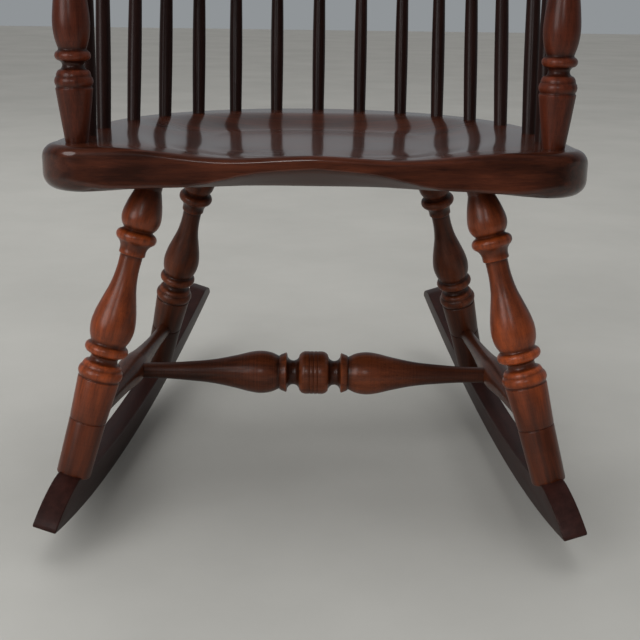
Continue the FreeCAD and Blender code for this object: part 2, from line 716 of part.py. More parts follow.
front_leg_shape = front_leg.make().cut(side_stretcher_cut(stretcher_front, stretcher_rear))
rear_leg_shape = rear_leg.make().cut(side_stretcher_cut(stretcher_rear, stretcher_front))
rocker_shape = make_rocker().cut(front_leg.rocker_cut()).cut(rear_leg.rocker_cut())
medial_reach = bulb.x - side_bulb_radius + stretcher_tenon + socket_spare
medial_hole = Part.makeCylinder(medial_end_radius + joint_gap, medial_reach, V(0, bulb.y, bulb.z), V(1, 0, 0))
side_shape = make_side_stretcher(stretcher_front, stretcher_rear).cut(medial_hole)
medial_shape = aim(make_medial_stretcher(bulb.x), V(0, bulb.y, bulb.z), bulb)

right_post_place = V(spindle_half_width, -post_y, 0)
post_shape = make_post()
post_shape.translate(right_post_place)
post_shape = placed(post_shape)

rail, hands = make_rail()
hoop = make_hoop()
seat = make_seat_plank()
for name, foot, tip in spindle_lines():
    nodes[name] = placed(make_spindle(foot, tip))
    seat = seat.cut(seat_hole(foot, tip, spindle_foot_radius, spindle_tenon))
    rail = rail.cut(rail_hole(foot, tip))
    if tip.z > rail_top:
        hoop = hoop.cut(hoop_hole(foot, tip))
for sign in SIDES.values():
    post_foot = V(sign * right_post_place.x, right_post_place.y, 0)
    post_head = post_foot + V(0, 0, rail_under)
    seat = seat.cut(seat_hole(post_foot, post_head, post_tenon_radius, post_tenon))
    rail = rail.cut(rod(post_head, post_head + V(0, 0, post_top_tenon), post_tenon_radius + joint_gap,
                        overrun, socket_spare))
    rail = rail.cut(hoop_tenon_rod(sign, joint_gap, socket_spare))
seat = placed(seat)
for leg in (front_leg, rear_leg):
    hole = leg.seat_cut()
    seat = seat.cut(hole).cut(mirrored(hole))

nodes["seat"] = seat
nodes["arm_rail"] = placed(rail)
nodes["hoop"] = placed(hoop)
nodes["medial_stretcher"] = medial_shape
for side, block in hands.items():
    nodes["arm_hand_" + side] = placed(block)
for name, shape in (("front_leg", front_leg_shape), ("rear_leg", rear_leg_shape), ("rocker", rocker_shape),
                    ("side_stretcher", side_shape), ("arm_post", post_shape)):
    nodes[name + "_right"] = shape
    nodes[name + "_left"] = mirrored(shape)

for name, shape in nodes.items():
    only_solid(shape).exportStep("parts/%s.step" % name)
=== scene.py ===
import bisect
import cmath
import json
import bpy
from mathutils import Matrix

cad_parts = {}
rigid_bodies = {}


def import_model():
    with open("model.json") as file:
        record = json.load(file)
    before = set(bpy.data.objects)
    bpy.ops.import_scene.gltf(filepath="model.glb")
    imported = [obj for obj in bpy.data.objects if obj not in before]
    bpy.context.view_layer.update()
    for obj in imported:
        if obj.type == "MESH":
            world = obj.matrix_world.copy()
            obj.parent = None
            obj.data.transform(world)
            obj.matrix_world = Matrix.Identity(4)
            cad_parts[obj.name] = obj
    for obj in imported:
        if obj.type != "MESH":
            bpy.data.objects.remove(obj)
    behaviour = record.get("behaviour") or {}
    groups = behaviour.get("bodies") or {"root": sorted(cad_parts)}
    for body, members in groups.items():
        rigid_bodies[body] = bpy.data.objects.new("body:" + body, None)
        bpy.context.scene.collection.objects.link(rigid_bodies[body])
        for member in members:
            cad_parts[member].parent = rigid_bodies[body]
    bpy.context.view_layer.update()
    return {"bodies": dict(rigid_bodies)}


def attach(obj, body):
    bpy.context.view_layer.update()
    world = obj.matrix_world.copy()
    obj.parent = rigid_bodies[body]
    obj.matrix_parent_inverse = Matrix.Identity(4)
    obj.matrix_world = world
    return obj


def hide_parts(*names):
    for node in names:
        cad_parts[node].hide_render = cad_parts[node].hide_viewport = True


bl_info = {
    "name": "Hoop Back Rocking Chair",
    "version": (1, 0, 0),
    "blender": (4, 5, 0),
    "location": "View3D > Sidebar > Rocking Chair",
    "description": "Makes a lacquered hoop back rocking chair piece by piece on its measured frame",
    "category": "Add Mesh",
}

from functools import partial
from math import asin, cos, dist, exp, hypot, pi, radians, sin, sqrt

import bmesh
import bpy
from bpy.props import FloatProperty, FloatVectorProperty, IntProperty, PointerProperty
from bpy.types import Node, NodeSocket, Operator, Panel, PropertyGroup
from mathutils import Matrix, Vector

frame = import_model()
BODY = next(iter(frame["bodies"]))
SIDES = {"left": -1.0, "right": 1.0}

# Turned outlines, as shares. Each entry is a kind and the places it runs to: the first
# number is a share of the outline's length, the second a share of its fullest radius.
LEG_SHARES = [
    ("arc", [(0.002, 0.760), (0.007, 0.777)]),
    ("line", [(0.2245, 0.835), (0.2270, 0.795), (0.2295, 0.795), (0.2320, 0.837)]),
    ("line", [(0.398, 0.955), (0.401, 0.915), (0.404, 0.915)]),
    ("arc", [(0.426, 1.020), (0.447, 0.905)]),
    ("arc", [(0.457, 0.875), (0.466, 0.790)]),
    ("arc", [(0.483, 0.615), (0.500, 0.790)]),
    ("arc", [(0.521, 0.992), (0.541, 0.830)]),
    ("line", [(0.547, 0.800)]),
    ("curve", [(0.575, 0.935), (0.616, 1.0), (0.664, 0.935), (0.721, 0.768),
               (0.778, 0.595), (0.840, 0.508), (0.900, 0.505)]),
    ("line", [(0.903, 0.590), (0.913, 0.595)]),
    ("arc", [(0.940, 0.655), (0.955, 0.820)]),
    ("arc", [(0.975, 0.915), (0.994, 0.740)]),
    ("line", [(1.0, 0.655)]),
]
LEG_FOOT_SHARE = 0.735
LEG_HEAD_SHARES = [("curve", [(0.13, 0.82), (0.30, 0.885), (0.62, 0.79), (1.0, 0.567)])]
MEDIAL_START_SHARE = 0.97
MEDIAL_SHARES = [
    ("line", [(0.003, 1.0), (0.021, 1.0), (0.0235, 0.970), (0.026, 1.0), (0.050, 1.0)]),
    ("arc", [(0.070, 0.945), (0.085, 0.825)]),
    ("arc", [(0.122, 0.560), (0.158, 0.860)]),
    ("line", [(0.163, 0.935), (0.196, 0.835), (0.205, 0.765)]),
    ("curve", [(0.250, 0.925), (0.310, 0.995), (0.370, 0.945), (0.460, 0.775),
               (0.600, 0.560), (0.740, 0.450), (0.860, 0.385), (1.0, 0.357)]),
]
POST_FOOT_SHARE = 0.580
POST_SHARES = [
    ("line", [(0.006, 0.600)]),
    ("curve", [(0.12, 0.790), (0.236, 0.970)]),
    ("line", [(0.241, 0.920), (0.247, 0.925)]),
    ("arc", [(0.268, 1.0), (0.289, 0.900)]),
    ("arc", [(0.303, 0.870), (0.316, 0.760)]),
    ("arc", [(0.336, 0.560), (0.356, 0.760)]),
    ("arc", [(0.377, 0.930), (0.398, 0.760)]),
    ("line", [(0.404, 0.720)]),
    ("curve", [(0.45, 0.880), (0.51, 0.960), (0.60, 0.880), (0.74, 0.640), (0.86, 0.520)]),
    ("arc", [(0.885, 0.640), (0.910, 0.520)]),
    ("curve", [(0.955, 0.540), (1.0, 0.610)]),
]
# From a side stretcher's end to its bulb: share of the way, share of the swelling
SIDE_FRONT_SHARES = [(0.35, 0.18), (0.70, 0.55), (0.90, 0.91)]
SIDE_REAR_SHARES = [(0.35, 0.09), (0.70, 0.46), (0.90, 0.91)]
# A spindle below and above the arm rail: share of the way, share of its fullest radius
SPINDLE_LOW_SHARES = [(0.0, 0.925), (0.02, 0.93), (0.35, 1.0), (0.70, 0.90), (1.0, 0.75)]
SPINDLE_HIGH_SHARES = [(0.0, 0.75), (0.06, 0.75), (0.82, 0.6125), (1.0, 0.6125)]
# The long spindles' feet as shares of the row's half width, and the places of the short ones' feet and tops
LONG_SPINDLE_SHARES = [0.0, 0.233, 0.456, 0.645, 0.80]
SHORT_FEET = [0.046, -0.040, -0.113]
SHORT_TOPS = [0.1094, -0.002, -0.093]
# The scoop under the front edge, from the middle outwards: distance, height up the face,
# depth along the underside
SCOOP_PLACES = [
    (0.0, 0.0298, 0.071), (0.034, 0.0286, 0.071), (0.052, 0.0271, 0.070), (0.069, 0.0241, 0.068),
    (0.086, 0.0190, 0.063), (0.104, 0.0134, 0.057), (0.121, 0.0098, 0.052), (0.145, 0.0082, 0.046),
    (0.172, 0.0066, 0.036), (0.205, 0.0044, 0.024), (0.235, 0.0024, 0.012), (0.270, 0.0020, 0.010)]
SCOOP_EDGE = 0.0011
# Radii of the seat's edge above and below
TOP_ROUNDS = {"side": 0.0185, "back": 0.013, "front": 0.0052, "corner": 0.0085}
LOW_ROUNDS = {"side": 0.0155, "back": 0.012, "front": 0.0130}
# Where one form of the seat turns into another: its start, and over what distance
FRONT_ZONE = (0.150, 0.050)
CORNER_ZONE = (0.150, 0.075)
BACK_ZONE = (-0.020, 0.160)
SCOOP_END_ZONE = (0.180, 0.050)
ROLL_END_ZONE = (0.110, 0.080)
# Where the seat's colour turns darker round the front corners, and how much darker
DARK_SIDE_ZONE = (0.190, 0.060)
DARK_FRONT_ZONE = (0.100, 0.080)
CORNER_DARKENING = 0.45
# How far the front edge rolls over and how far in that starts: between the thighs, and elsewhere
MIDDLE_ROLL = (0.0022, 0.040)
SIDE_ROLL = (0.0008, 0.018)
SADDLE_POWER = 2.6
SADDLE_WALL_SHARE = 0.45
# Rounded edges and corners left by saw, lathe and sandpaper
ROCKER_EDGE = 0.0014
ROCKER_END_STEPS = [(0.0, 0.0011), (0.0003, 0.0005), (0.0011, 0.0)]
ROCKER_TIP = 0.003
LEG_SOFTNESS = 0.0006
TURNED_SOFTNESS = 0.0005
SHARP_TURN = radians(16)
# How far pieces run into their neighbours
FOOT_SEAT_DEPTH = 0.0018
TENON = 0.008
MEDIAL_TENON = 0.010
POST_TENON = 0.004
SPINDLE_TENON = 0.003
SEAM_GAP = 0.00005
# How much each piece's place in the wood steps on with its name, and the range of that
BOARD_STEPS = ((0.137, 1.7), (0.291, 1.9), (0.073, 2.3))


def hex_colour(text):
    """The linear colour of an sRGB hex code."""
    parts = [int(text[i:i + 2], 16) / 255 for i in (1, 3, 5)]
    return tuple(p / 12.92 if p <= 0.04045 else ((p + 0.055) / 1.055) ** 2.4 for p in parts)


def length(description, default):
    return FloatProperty(description=description, default=default, unit="LENGTH", precision=4)


def angle(description, degrees):
    return FloatProperty(description=description, default=radians(degrees), subtype="ANGLE")


def share(description, default):
    return FloatProperty(description=description, default=default, min=0.0, max=1.0, subtype="FACTOR")


def count(description, default):
    return IntProperty(description=description, default=default, min=8)


def colour(description, code):
    return FloatVectorProperty(description=description, default=hex_colour(code), size=3,
                               min=0.0, max=1.0, subtype="COLOR")


class SeatSizes(PropertyGroup):
    width: length("Across the front corners", 0.527)
    front: length("Origin to the middle of the front edge", 0.212)
    side_start: length("Where the side turns into the back, ahead of the origin", 0.060)
    back_depth: length("From that turn to the back edge", 0.294)
    narrowing: length("How far each side has drawn in there", 0.0035)
    thickness: length("Of the plank", 0.044)
    corner: length("Radius of the front corners", 0.046)
    corner_drop: length("How far the front edge falls back at them", 0.006)
    height: length("Floor to the flat rim", 0.40657)
    place: length("Origin along the rockers", -0.09666)
    lean: angle("Lower at the back", 0.94)
    saddle_depth: length("At its deepest place", 0.0142)
    saddle_margin: length("Side of the seat to the saddle", 0.0585)
    saddle_back: length("Origin to the back of the saddle", 0.165)
    saddle_front: length("Origin to its front, past the edge", 0.236)
    thigh_depth: length("How far they lower the front edge", 0.0053)
    thigh_place: length("Their distance from the middle", 0.092)
    thigh_spread: length("Their half width", 0.060)
    thigh_reach: length("How far they run in", 0.150)
    scoop: share("How deep the scoop under the front edge is", 1.0)


class LegSizes(PropertyGroup):
    pattern: length("Foot to the groove above the upper ring", 0.263)
    radius: length("At the fullest place of the vase", 0.0224)
    neck: length("Straight part just below the seat", 0.005)
    front_inset: length("Side of the seat to the front leg's top", 0.1003)
    front_place: length("Front leg's top, ahead of the seat's origin", 0.1417)
    rear_inset: length("Side of the seat to the rear leg's top", 0.1281)
    rear_place: length("Rear leg's top, behind the seat's origin", 0.1155)


class RockerSizes(PropertyGroup):
    radius: length("Of the curve that meets the floor", 1.038)
    height: length("Of the plank", 0.048)
    thickness: length("Of the plank", 0.024)
    cant: angle("The top leans inwards", 16.6)
    toe: angle("The rear ends are drawn together", 5.24)
    inset: length("Side of the seat to the contact with the floor", 0.0283)
    contact: length("That place along the chair", -0.0716)
    front: length("Contact to the front tip", 0.2812)
    rear: length("Contact to the rear tip", 0.4263)
    front_foot: length("Contact to the front leg", 0.2091)
    rear_foot: length("Contact to the rear leg", 0.1677)
    nose: length("Length of the front end's falling curve", 0.052)
    nose_bulge: length("How far that curve stands out", 0.008)
    tail: length("Length of the rear end's falling curve", 0.068)
    tail_bulge: length("How far that curve stands out", 0.006)


class StretcherSizes(PropertyGroup):
    front_height: length("Up the front leg", 0.054)
    rear_height: length("Up the rear leg", 0.058)
    surface: length("Leg's middle line to where the stretcher comes out", 0.019)
    bulb_share: share("Along the side stretcher from its front end", 0.495)
    bulb_radius: length("Of the side stretchers", 0.017)
    side_end: length("Of the side stretchers at the legs", 0.0084)
    medial_radius: length("Of the middle stretcher's barrel", 0.0252)


class SpindleSizes(PropertyGroup):
    inset: length("Side of the seat to the side spindles", 0.0355)
    side_start: length("Ahead of the seat's origin, where their row starts to curve", 0.055)
    back_depth: length("From there to the rearmost spindle", 0.262)
    radius: length("At the fullest place", 0.008)
    sides: count("Faces round a spindle", 28)
    steps: count("Rings along a spindle", 90)


class ArmSizes(PropertyGroup):
    height: length("Rim of the seat to the middle of the rail", 0.225)
    width: length("Of the rail", 0.044)
    thickness: length("Of the rail", 0.022)
    side_start: length("Behind the seat's origin, where the rail starts to curve", 0.030)
    back_depth: length("From there to the rail's middle line at the back", 0.206)
    edge: length("Radius of the rail's edges", 0.0065)
    front: length("Seat's origin to the arm's front end", 0.217)
    foremost: length("From the arm's inner side", 0.030)
    inner_round: length("How far back it is rounded", 0.020)
    outer_round: length("How far back it is rounded", 0.031)
    block_length: length("Of the block that widens the arm's end", 0.108)
    block_width: length("How far it stands out", 0.028)
    post_place: length("Arm post, ahead of the seat's origin", 0.170)
    post_radius: length("At its fullest place", 0.0181)


class HoopSizes(PropertyGroup):
    radius: length("Of the bent rod", 0.012)
    inset: length("Rail's middle line at the arms to the hoop's foot", 0.025)
    shoulder: length("How much narrower the top curve is than the feet", 0.025)
    side_turn: angle("How far each side bends before the top curve", 25.0)
    lean: angle("Back from square to the seat", 22.8)
    height: length("Middle of the rail to the top, along the hoop", 0.440)
    sides: count("Faces round the hoop", 40)
    steps: count("Rings along the hoop", 240)


class Finish(PropertyGroup):
    seat: colour("Dark red-brown stain", "#3e1b0d")
    legs: colour("Orange-brown stain", "#703010")
    # the legs' orange-brown stain made darker for the rear legs: painted shade under the seat
    rear_legs: colour("Orange-brown stain darkened by painted shade", "#4a210e")
    # partly the posts' own red-brown stain, partly painted shade under the arm rail
    posts: colour("Red-brown stain on the arm posts, darkened by painted shade", "#431a0b")
    spindles: colour("Dark brown stain", "#220f0b")
    stretchers: colour("Brown stain", "#532610")
    rockers: colour("Dark purple-brown stain", "#2c1511")
    back: colour("Red-brown stain", "#562613")
    floor: colour("Plain pale floor", "#adaca7")
    far_floor: colour("The dim floor that the lacquer mirrors", "#2b2a29")
    wall: colour("Pale grey room", "#8f9396")


class StageSizes(PropertyGroup):
    camera: FloatVectorProperty(description="Where the camera stands", size=3,
                                default=(0.009434, -1.308728, 0.553748), subtype="XYZ", unit="LENGTH")
    pitch: angle("How far the camera looks down", 17.022)
    yaw: angle("How far it looks to the right", -0.132)
    roll: angle("How far it is rolled", 0.780)
    lens: FloatProperty(description="Focal length in millimetres", default=61.07)
    floor: length("Half the width of the floor", 14.0)
    target: length("Height on the chair that the lamps face", 0.35)


# Each group's name on the scene. A setting's label is its own name.
PARTS = {"seat": SeatSizes, "leg": LegSizes, "rocker": RockerSizes, "stretcher": StretcherSizes,
         "spindle": SpindleSizes, "arm": ArmSizes, "hoop": HoopSizes, "finish": Finish, "stage": StageSizes}
for group in PARTS.values():
    for key, setting in group.__annotations__.items():
        setting.keywords["name"] = key.replace("_", " ").capitalize()


class ChairSizes(PropertyGroup):
    """All the sizes and colours, kept on the scene"""
    __annotations__ = {part: PointerProperty(type=group) for part, group in PARTS.items()}


# Shapes and places


def held(value, low=0.0, high=1.0):
    return min(high, max(low, value))


def smooth_step(value):
    value = held(value)
    return value * value * (3 - 2 * value)


def entered(zone, value):
    """How far a value has passed through a zone, from 0 to 1."""
    return smooth_step((value - zone[0]) / zone[1])


def mix(a, b, amount):
    return a + (b - a) * amount


def between(places, at):
    """The later of the two rising places that at lies between, and its share of the way there."""
    i = min(max(1, bisect.bisect(places, at)), len(places) - 1)
    gap = places[i] - places[i - 1]
    return i, 1.0 if gap < 1e-9 else (at - places[i - 1]) / gap


def seat_matrix(seat):
    return Matrix.Translation((0, seat.place, seat.height)) @ Matrix.Rotation(-seat.lean, 4, "X")


def row_half(chair):
    """Half the width of the rows of spindles and of the rail's middle line."""
    return chair.seat.width / 2 - chair.spindle.inset


def curve_y(x, half_width, start, depth):
    """How far back the curved part of a row lies at x."""
    return start + depth * sqrt(1 - (x / half_width) ** 2)


def curve_x(y, half_width, start, depth):
    return half_width * sqrt(1 - (max(0.0, y - start) / depth) ** 2)


def ellipse_arc(x, y, across, along, start, end, steps):
    """Points of an ellipse about x, y from one turn up to another, without the last."""
    turns = [mix(start, end, i / steps) for i in range(steps)]
    return [(x + across * cos(a), y + along * sin(a)) for a in turns]


def arc_points(a, b, c, steps):
    """Points after a, on the circle through a and b, to c."""
    a, b, c = [complex(*p) for p in (a, b, c)]
    skew = (c - a) / (b - a)
    centre = a + (b - a) * (skew - abs(skew) ** 2) / (2j * skew.imag)
    past, turn = [cmath.phase((p - centre) / (a - centre)) % (2 * pi) for p in (b, c)]
    if past > turn:
        turn -= 2 * pi
    points = [centre + (a - centre) * cmath.exp(1j * turn * i / steps) for i in range(1, steps + 1)]
    return [(p.real, p.imag) for p in points]


def curve_points(points, steps):
    """Points after the first, on a smooth curve through all of them, evenly spread between each two."""
    def blend(p, q, start, end, t):
        return [mix(u, v, (t - start) / (end - start)) for u, v in zip(p, q)]

    out = []
    ends = [tuple(2 * p - q for p, q in zip(points[0], points[1]))]
    ends += points + [tuple(2 * p - q for p, q in zip(points[-1], points[-2]))]
    for four in zip(ends, ends[1:], ends[2:], ends[3:]):
        times = [0.0]
        for a, b in zip(four, four[1:]):
            times.append(times[-1] + max(dist(a, b), 1e-9) ** 0.5)
        for i in range(1, steps + 1):
            t = mix(times[1], times[2], i / steps)
            a = [blend(four[k], four[k + 1], times[k], times[k + 1], t) for k in range(3)]
            b = [blend(a[k], a[k + 1], times[k], times[k + 2], t) for k in range(2)]
            out.append(tuple(blend(b[0], b[1], times[1], times[2], t)))
    return out


def turned_outline(start, entries, base, long, radius):
    """(radius, height) points of a turned outline that starts at start."""
    points = [start]
    for kind, shares in entries:
        places = [(radius * r, base + long * u) for u, r in shares]
        if kind == "line":
            points += places
        elif kind == "arc":
            points += arc_points(points[-1], places[0], places[1], 14)
        else:
            points += curve_points([points[-1]] + places, 10)
    return points


def soften(points, size):
    """Rounds the sharp corners of an outline a little, as sandpaper and lacquer do."""
    out = [points[0]]
    for before, here, after in zip(points, points[1:], points[2:]):
        corner = Vector(here)
        a = Vector(before) - corner
        b = Vector(after) - corner
        if a.length < 1e-7 or b.length < 1e-7:
            continue
        if (-a).angle(b) < SHARP_TURN:
            out.append(here)
            continue
        first = corner + a.normalized() * min(size, a.length * 0.4)
        last = corner + b.normalized() * min(size, b.length * 0.4)
        out += [tuple(first), tuple((first + corner * 2 + last) / 4), tuple(last)]
    return out + [points[-1]]


# Meshes


def finished(name, node, mesh, material, below=None):
    """Makes a mesh one of the chair's pieces, in place of its node. Below is a wood for what faces down."""
    mesh.materials.clear()
    mesh.materials.append(material)
    if below:
        mesh.materials.append(below)
        for polygon in mesh.polygons:
            polygon.material_index = int(polygon.normal.z < -0.89)
    mesh.polygons.foreach_set("use_smooth", [True] * len(mesh.polygons))
    mesh.set_sharp_from_angle(angle=radians(38))
    piece = bpy.data.objects.new(name, mesh)
    bpy.context.scene.collection.objects.link(piece)
    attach(piece, BODY)
    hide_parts(node)
    return piece


def finished_pair(how, kind, mesh, material):
    """A right-hand piece and its mirror image on the left. How says how the real ones are shaped."""
    left = mirrored_mesh(mesh, kind + "_left")
    finished("%s_%s_right" % (how, kind), kind + "_right", mesh, material)
    finished("%s_%s_left" % (how, kind), kind + "_left", left, material)


def loops_mesh(name, loops, grains, caps=None, reliefs=None):
    """A closed mesh over loops of points of equal count. Grains are where the points lie in the wood: across,
    through and along the fibres. Caps are a (point, grain) for each end. Reliefs are the points' too."""
    count = len(loops[0])
    if not caps:
        caps = [[sum(rows[k], Vector()) / count for rows in (loops, grains)] for k in (0, -1)]
    points = [p for loop in loops for p in loop] + [cap[0] for cap in caps]
    grain = [g for loop in grains for g in loop] + [cap[1] for cap in caps]
    faces = []
    for i in range(len(loops) - 1):
        a, b = i * count, (i + 1) * count
        for j in range(count):
            k = (j + 1) % count
            faces.append((a + j, a + k, b + k, b + j))
    first, last = len(points) - 2, len(points) - 1
    high = (len(loops) - 1) * count
    for j in range(count):
        k = (j + 1) % count
        faces.append((first, k, j))
        faces.append((last, high + j, high + k))
    mesh = bpy.data.meshes.new(name)
    mesh.from_pydata([tuple(p) for p in points], [], faces)
    mesh.validate()
    face_outwards(mesh)
    layer = mesh.attributes.new("grain", "FLOAT_VECTOR", "POINT")
    layer.data.foreach_set("vector", [c for g in grain for c in g])
    if reliefs:
        layer = mesh.attributes.new("relief", "FLOAT", "POINT")
        relief = [r for loop in reliefs for r in loop] + [reliefs[0][0], reliefs[-1][0]]
        layer.data.foreach_set("value", relief)
    return mesh


def face_outwards(mesh):
    """Turns the whole mesh round if its faces point inwards."""
    shape = bmesh.new()
    shape.from_mesh(mesh)
    if shape.calc_volume(signed=True) < 0:
        mesh.flip_normals()
    shape.free()


def board_shift(name):
    """Each piece is cut from another place in the wood."""
    number = sum((i + 3) * ord(c) for i, c in enumerate(name))
    return Vector([(number * step) % reach for step, reach in BOARD_STEPS])


def mirrored_mesh(mesh, name):
    copy = mesh.copy()
    copy.name = name
    copy.transform(Matrix.Scale(-1, 4, (1, 0, 0)))
    copy.flip_normals()
    shift = board_shift(name)
    for item in copy.attributes["grain"].data:
        item.vector = Vector(item.vector) + shift
    return copy


def outline_relief(outline, darkened_heights):
    """For each point of a turned outline, whether it stands out (to 1) or lies low (to -1), and how much
    darker it is coloured: partly glaze kept in the grooves, partly painted shade in the grooves and coves,
    and darker where the piece is thin.
    The last argument is (height, amount) pairs: how much darker the colour is painted at each height."""
    reach, samples, full_relief, thin_darkening = 0.0045, 6, 0.0012, 0.65
    heights = [h for _, h in outline]
    tone_heights = [h for h, _ in darkened_heights]

    def tone_at(height):
        i, t = between(tone_heights, height)
        return mix(darkened_heights[i - 1][1], darkened_heights[i][1], held(t))

    def radius_at(height):
        i, t = between(heights, height)
        return mix(outline[i - 1][0], outline[i][0], held(t))

    fullest = max(r for r, _ in outline)
    reliefs = []
    for radius, height in outline:
        near = [radius_at(height + reach * k / samples) for k in range(-samples, samples + 1)]
        glaze_and_shade = thin_darkening * (1 - radius / fullest) + tone_at(height)
        reliefs.append(held((radius - sum(near) / len(near)) / full_relief - glaze_and_shade, -1.0))
    return reliefs


def turned_mesh(name, outline, foot, head, sides, darkened_heights=((0, 0.0), (1, 0.0))):
    """Turns an outline of (radius, height) points about the line from foot to head."""
    way = (head - foot).normalized()
    across = way.orthogonal().normalized()
    through = way.cross(across)
    shift = board_shift(name)
    loops, grains = [], []
    for radius, height in outline:
        ring = ellipse_arc(0, 0, radius, radius, 0, 2 * pi, sides)
        loops.append([foot + way * height + across * u + through * v for u, v in ring])
        grains.append([Vector((u, v, height)) + shift for u, v in ring])
    caps = [(foot + way * h, Vector((0, 0, h)) + shift) for h in (outline[0][1], outline[-1][1])]
    reliefs = [[relief] * sides for relief in outline_relief(outline, darkened_heights)]
    return loops_mesh(name, loops, grains, caps, reliefs)


# Wood


def add_node(tree, kind, inputs=None, **settings):
    """Adds one node. An input takes a value, a socket, or a node, which stands for its first output."""
    node = tree.nodes.new(kind)
    for key, value in settings.items():
        setattr(node, key, value)
    for socket, value in (inputs or {}).items():
        if isinstance(value, Node):
            value = value.outputs[0]
        if isinstance(value, NodeSocket):
            tree.links.new(value, node.inputs[socket])
        else:
            node.inputs[socket].default_value = value
    return node


def cleared_tree(holder):
    holder.use_nodes = True
    holder.node_tree.nodes.clear()
    return holder.node_tree


def set_stops(ramp, shade, stops):
    """Gives a colour ramp its stops: each a position and how bright the shade is there."""
    elements = ramp.color_ramp.elements
    for i, (position, factor) in enumerate(stops):
        element = elements[i] if i < 2 else elements.new(position)
        element.position = position
        element.color = tuple(min(1.0, c * factor) for c in shade) + (1.0,)


# Patterns in the wood: stretch across, through and along the fibres, and the noise's scale (one over its
# size in metres), detail, roughness and swirl. The clouds, 33 mm, are where the stain soaked in more or less.
# The rings, 4 mm, are cut lengthwise and seen as long streaks. The pores, 0.7 mm, are short dark flecks.
# The marks, 2 mm, are fine rings left by the lathe, coarser than real ones so that they show.
WOOD_PATTERNS = {
    "clouds": ((1.0, 1.0, 0.30), 30.0, 3.0, 0.55, 0.0),
    "rings": ((1.0, 0.62, 0.045), 230.0, 4.0, 0.62, 0.25),
    "pores": ((1.0, 1.0, 0.06), 1500.0, 2.0, 0.5, 0.0),
    "marks": ((0.02, 0.02, 1.0), 520.0, 3.0, 0.6, 0.0),
}
# Stain, roughness below the lacquer, strength of the figure, the lacquer's weight and roughness, lathe marks
WOODS = {
    "Lacquered seat plank": ("seat", 0.40, 0.31, 0.80, 0.13, 0.0),
    "Thinly sealed underside": ("seat", 0.55, 0.16, 0.32, 0.34, 0.0),
    "Orange brown turned legs": ("legs", 0.50, 0.24, 0.55, 0.28, 0.05),
    # the rear legs' wood is a darker copy of the legs' wood: painted shade under the seat
    "Deep brown rear legs": ("rear_legs", 0.52, 0.24, 0.40, 0.28, 0.05),
    "Red brown arm posts": ("posts", 0.48, 0.24, 0.38, 0.26, 0.05),
    "Dark stained spindles": ("spindles", 0.50, 0.14, 0.22, 0.26, 0.0),
    "Brown turned stretchers": ("stretchers", 0.50, 0.22, 0.45, 0.25, 0.16),
    "Dark stained rockers": ("rockers", 0.54, 0.16, 0.20, 0.32, 0.0),
    "Bent red brown arms and hoop": ("back", 0.46, 0.20, 0.55, 0.20, 0.0),
}


def wood_for(name):
    """The wood of a kind of piece, made when it is first asked for."""
    if name not in bpy.data.materials:
        stain, *looks = WOODS[name]
        stained_wood(name, getattr(bpy.context.scene.chair.finish, stain), *looks)
    return bpy.data.materials[name]


def stained_wood(name, stain, gloss, figure, coat, satin, lathe):
    """Close-grained hardwood under stain and lacquer, with fibres along the grain attribute's third value."""
    tree = cleared_tree(bpy.data.materials.new(name))
    add = partial(add_node, tree)
    grain = add("ShaderNodeAttribute", attribute_name="grain").outputs["Vector"]
    noises = {}
    for pattern, (stretch, scale, detail, rough, swirl) in WOOD_PATTERNS.items():
        place = add("ShaderNodeMapping", {"Vector": grain, "Scale": stretch})
        noises[pattern] = add("ShaderNodeTexNoise", {
            "Vector": place, "Scale": scale, "Detail": detail, "Roughness": rough, "Distortion": swirl})
    tone = None
    for pattern, low, high, middle, reach in (("rings", 0.34, 0.68, 0.0, figure),
                                              ("clouds", 0.30, 0.70, 0.5, figure),
                                              ("marks", 0.30, 0.70, 0.0, lathe)):
        spread = add("ShaderNodeMapRange", {
            "Value": noises[pattern], "From Min": low, "From Max": high,
            "To Min": middle - reach, "To Max": middle + reach})
        tone = add("ShaderNodeMath", {0: tone, 1: spread}, operation="ADD") if tone else spread
    ramp = add("ShaderNodeValToRGB", {"Fac": tone})
    set_stops(ramp, stain, ((0.08, 0.42), (0.94, 1.70), (0.5, 1.0)))
    fleck = add("ShaderNodeMapRange", {
        "Value": noises["pores"], "From Min": 0.36, "From Max": 0.47, "To Min": 0.74, "To Max": 1.0})
    # darker in the grooves and coves, partly from dark glaze kept there and partly painted shade, and darker
    # at the given heights; the beads are rubbed lighter
    relief = add("ShaderNodeAttribute", attribute_name="relief").outputs["Fac"]
    glaze_and_shade = add("ShaderNodeMapRange", {
        "Value": relief, "From Min": -1.0, "From Max": 1.0, "To Min": 0.40, "To Max": 1.60})
    shade = add("ShaderNodeMath", {0: fleck, 1: glaze_and_shade}, operation="MULTIPLY")
    wood = add("ShaderNodeVectorMath", {0: ramp, "Scale": shade}, operation="SCALE")
    rub = add("ShaderNodeMapRange", {
        "Value": noises["clouds"], "From Min": 0.3, "From Max": 0.7,
        "To Min": gloss - 0.04, "To Max": gloss + 0.06})
    bump = add("ShaderNodeBump", {"Height": noises["rings"], "Strength": 0.05, "Distance": 0.0006})
    fine = add("ShaderNodeBump", {
        "Height": noises["pores"], "Normal": bump, "Strength": 0.04, "Distance": 0.0003})
    shader = add("ShaderNodeBsdfPrincipled", {
        "Base Color": wood, "Roughness": rub, "Normal": fine, "IOR": 1.30, "Specular IOR Level": 0.25,
        "Coat Weight": coat, "Coat Roughness": satin, "Coat IOR": 1.5})
    add("ShaderNodeOutputMaterial", {"Surface": shader})


# Swept pieces, by geometry nodes


ROD_INPUTS = {"Path": "Geometry", "Foot": "Vector", "Head": "Vector", "Radius": "Float",
              "Rail share": "Float", "Bent": "Bool", "Sides": "Int", "Steps": "Int", "Board": "Vector",
              "Wood": "Material"}


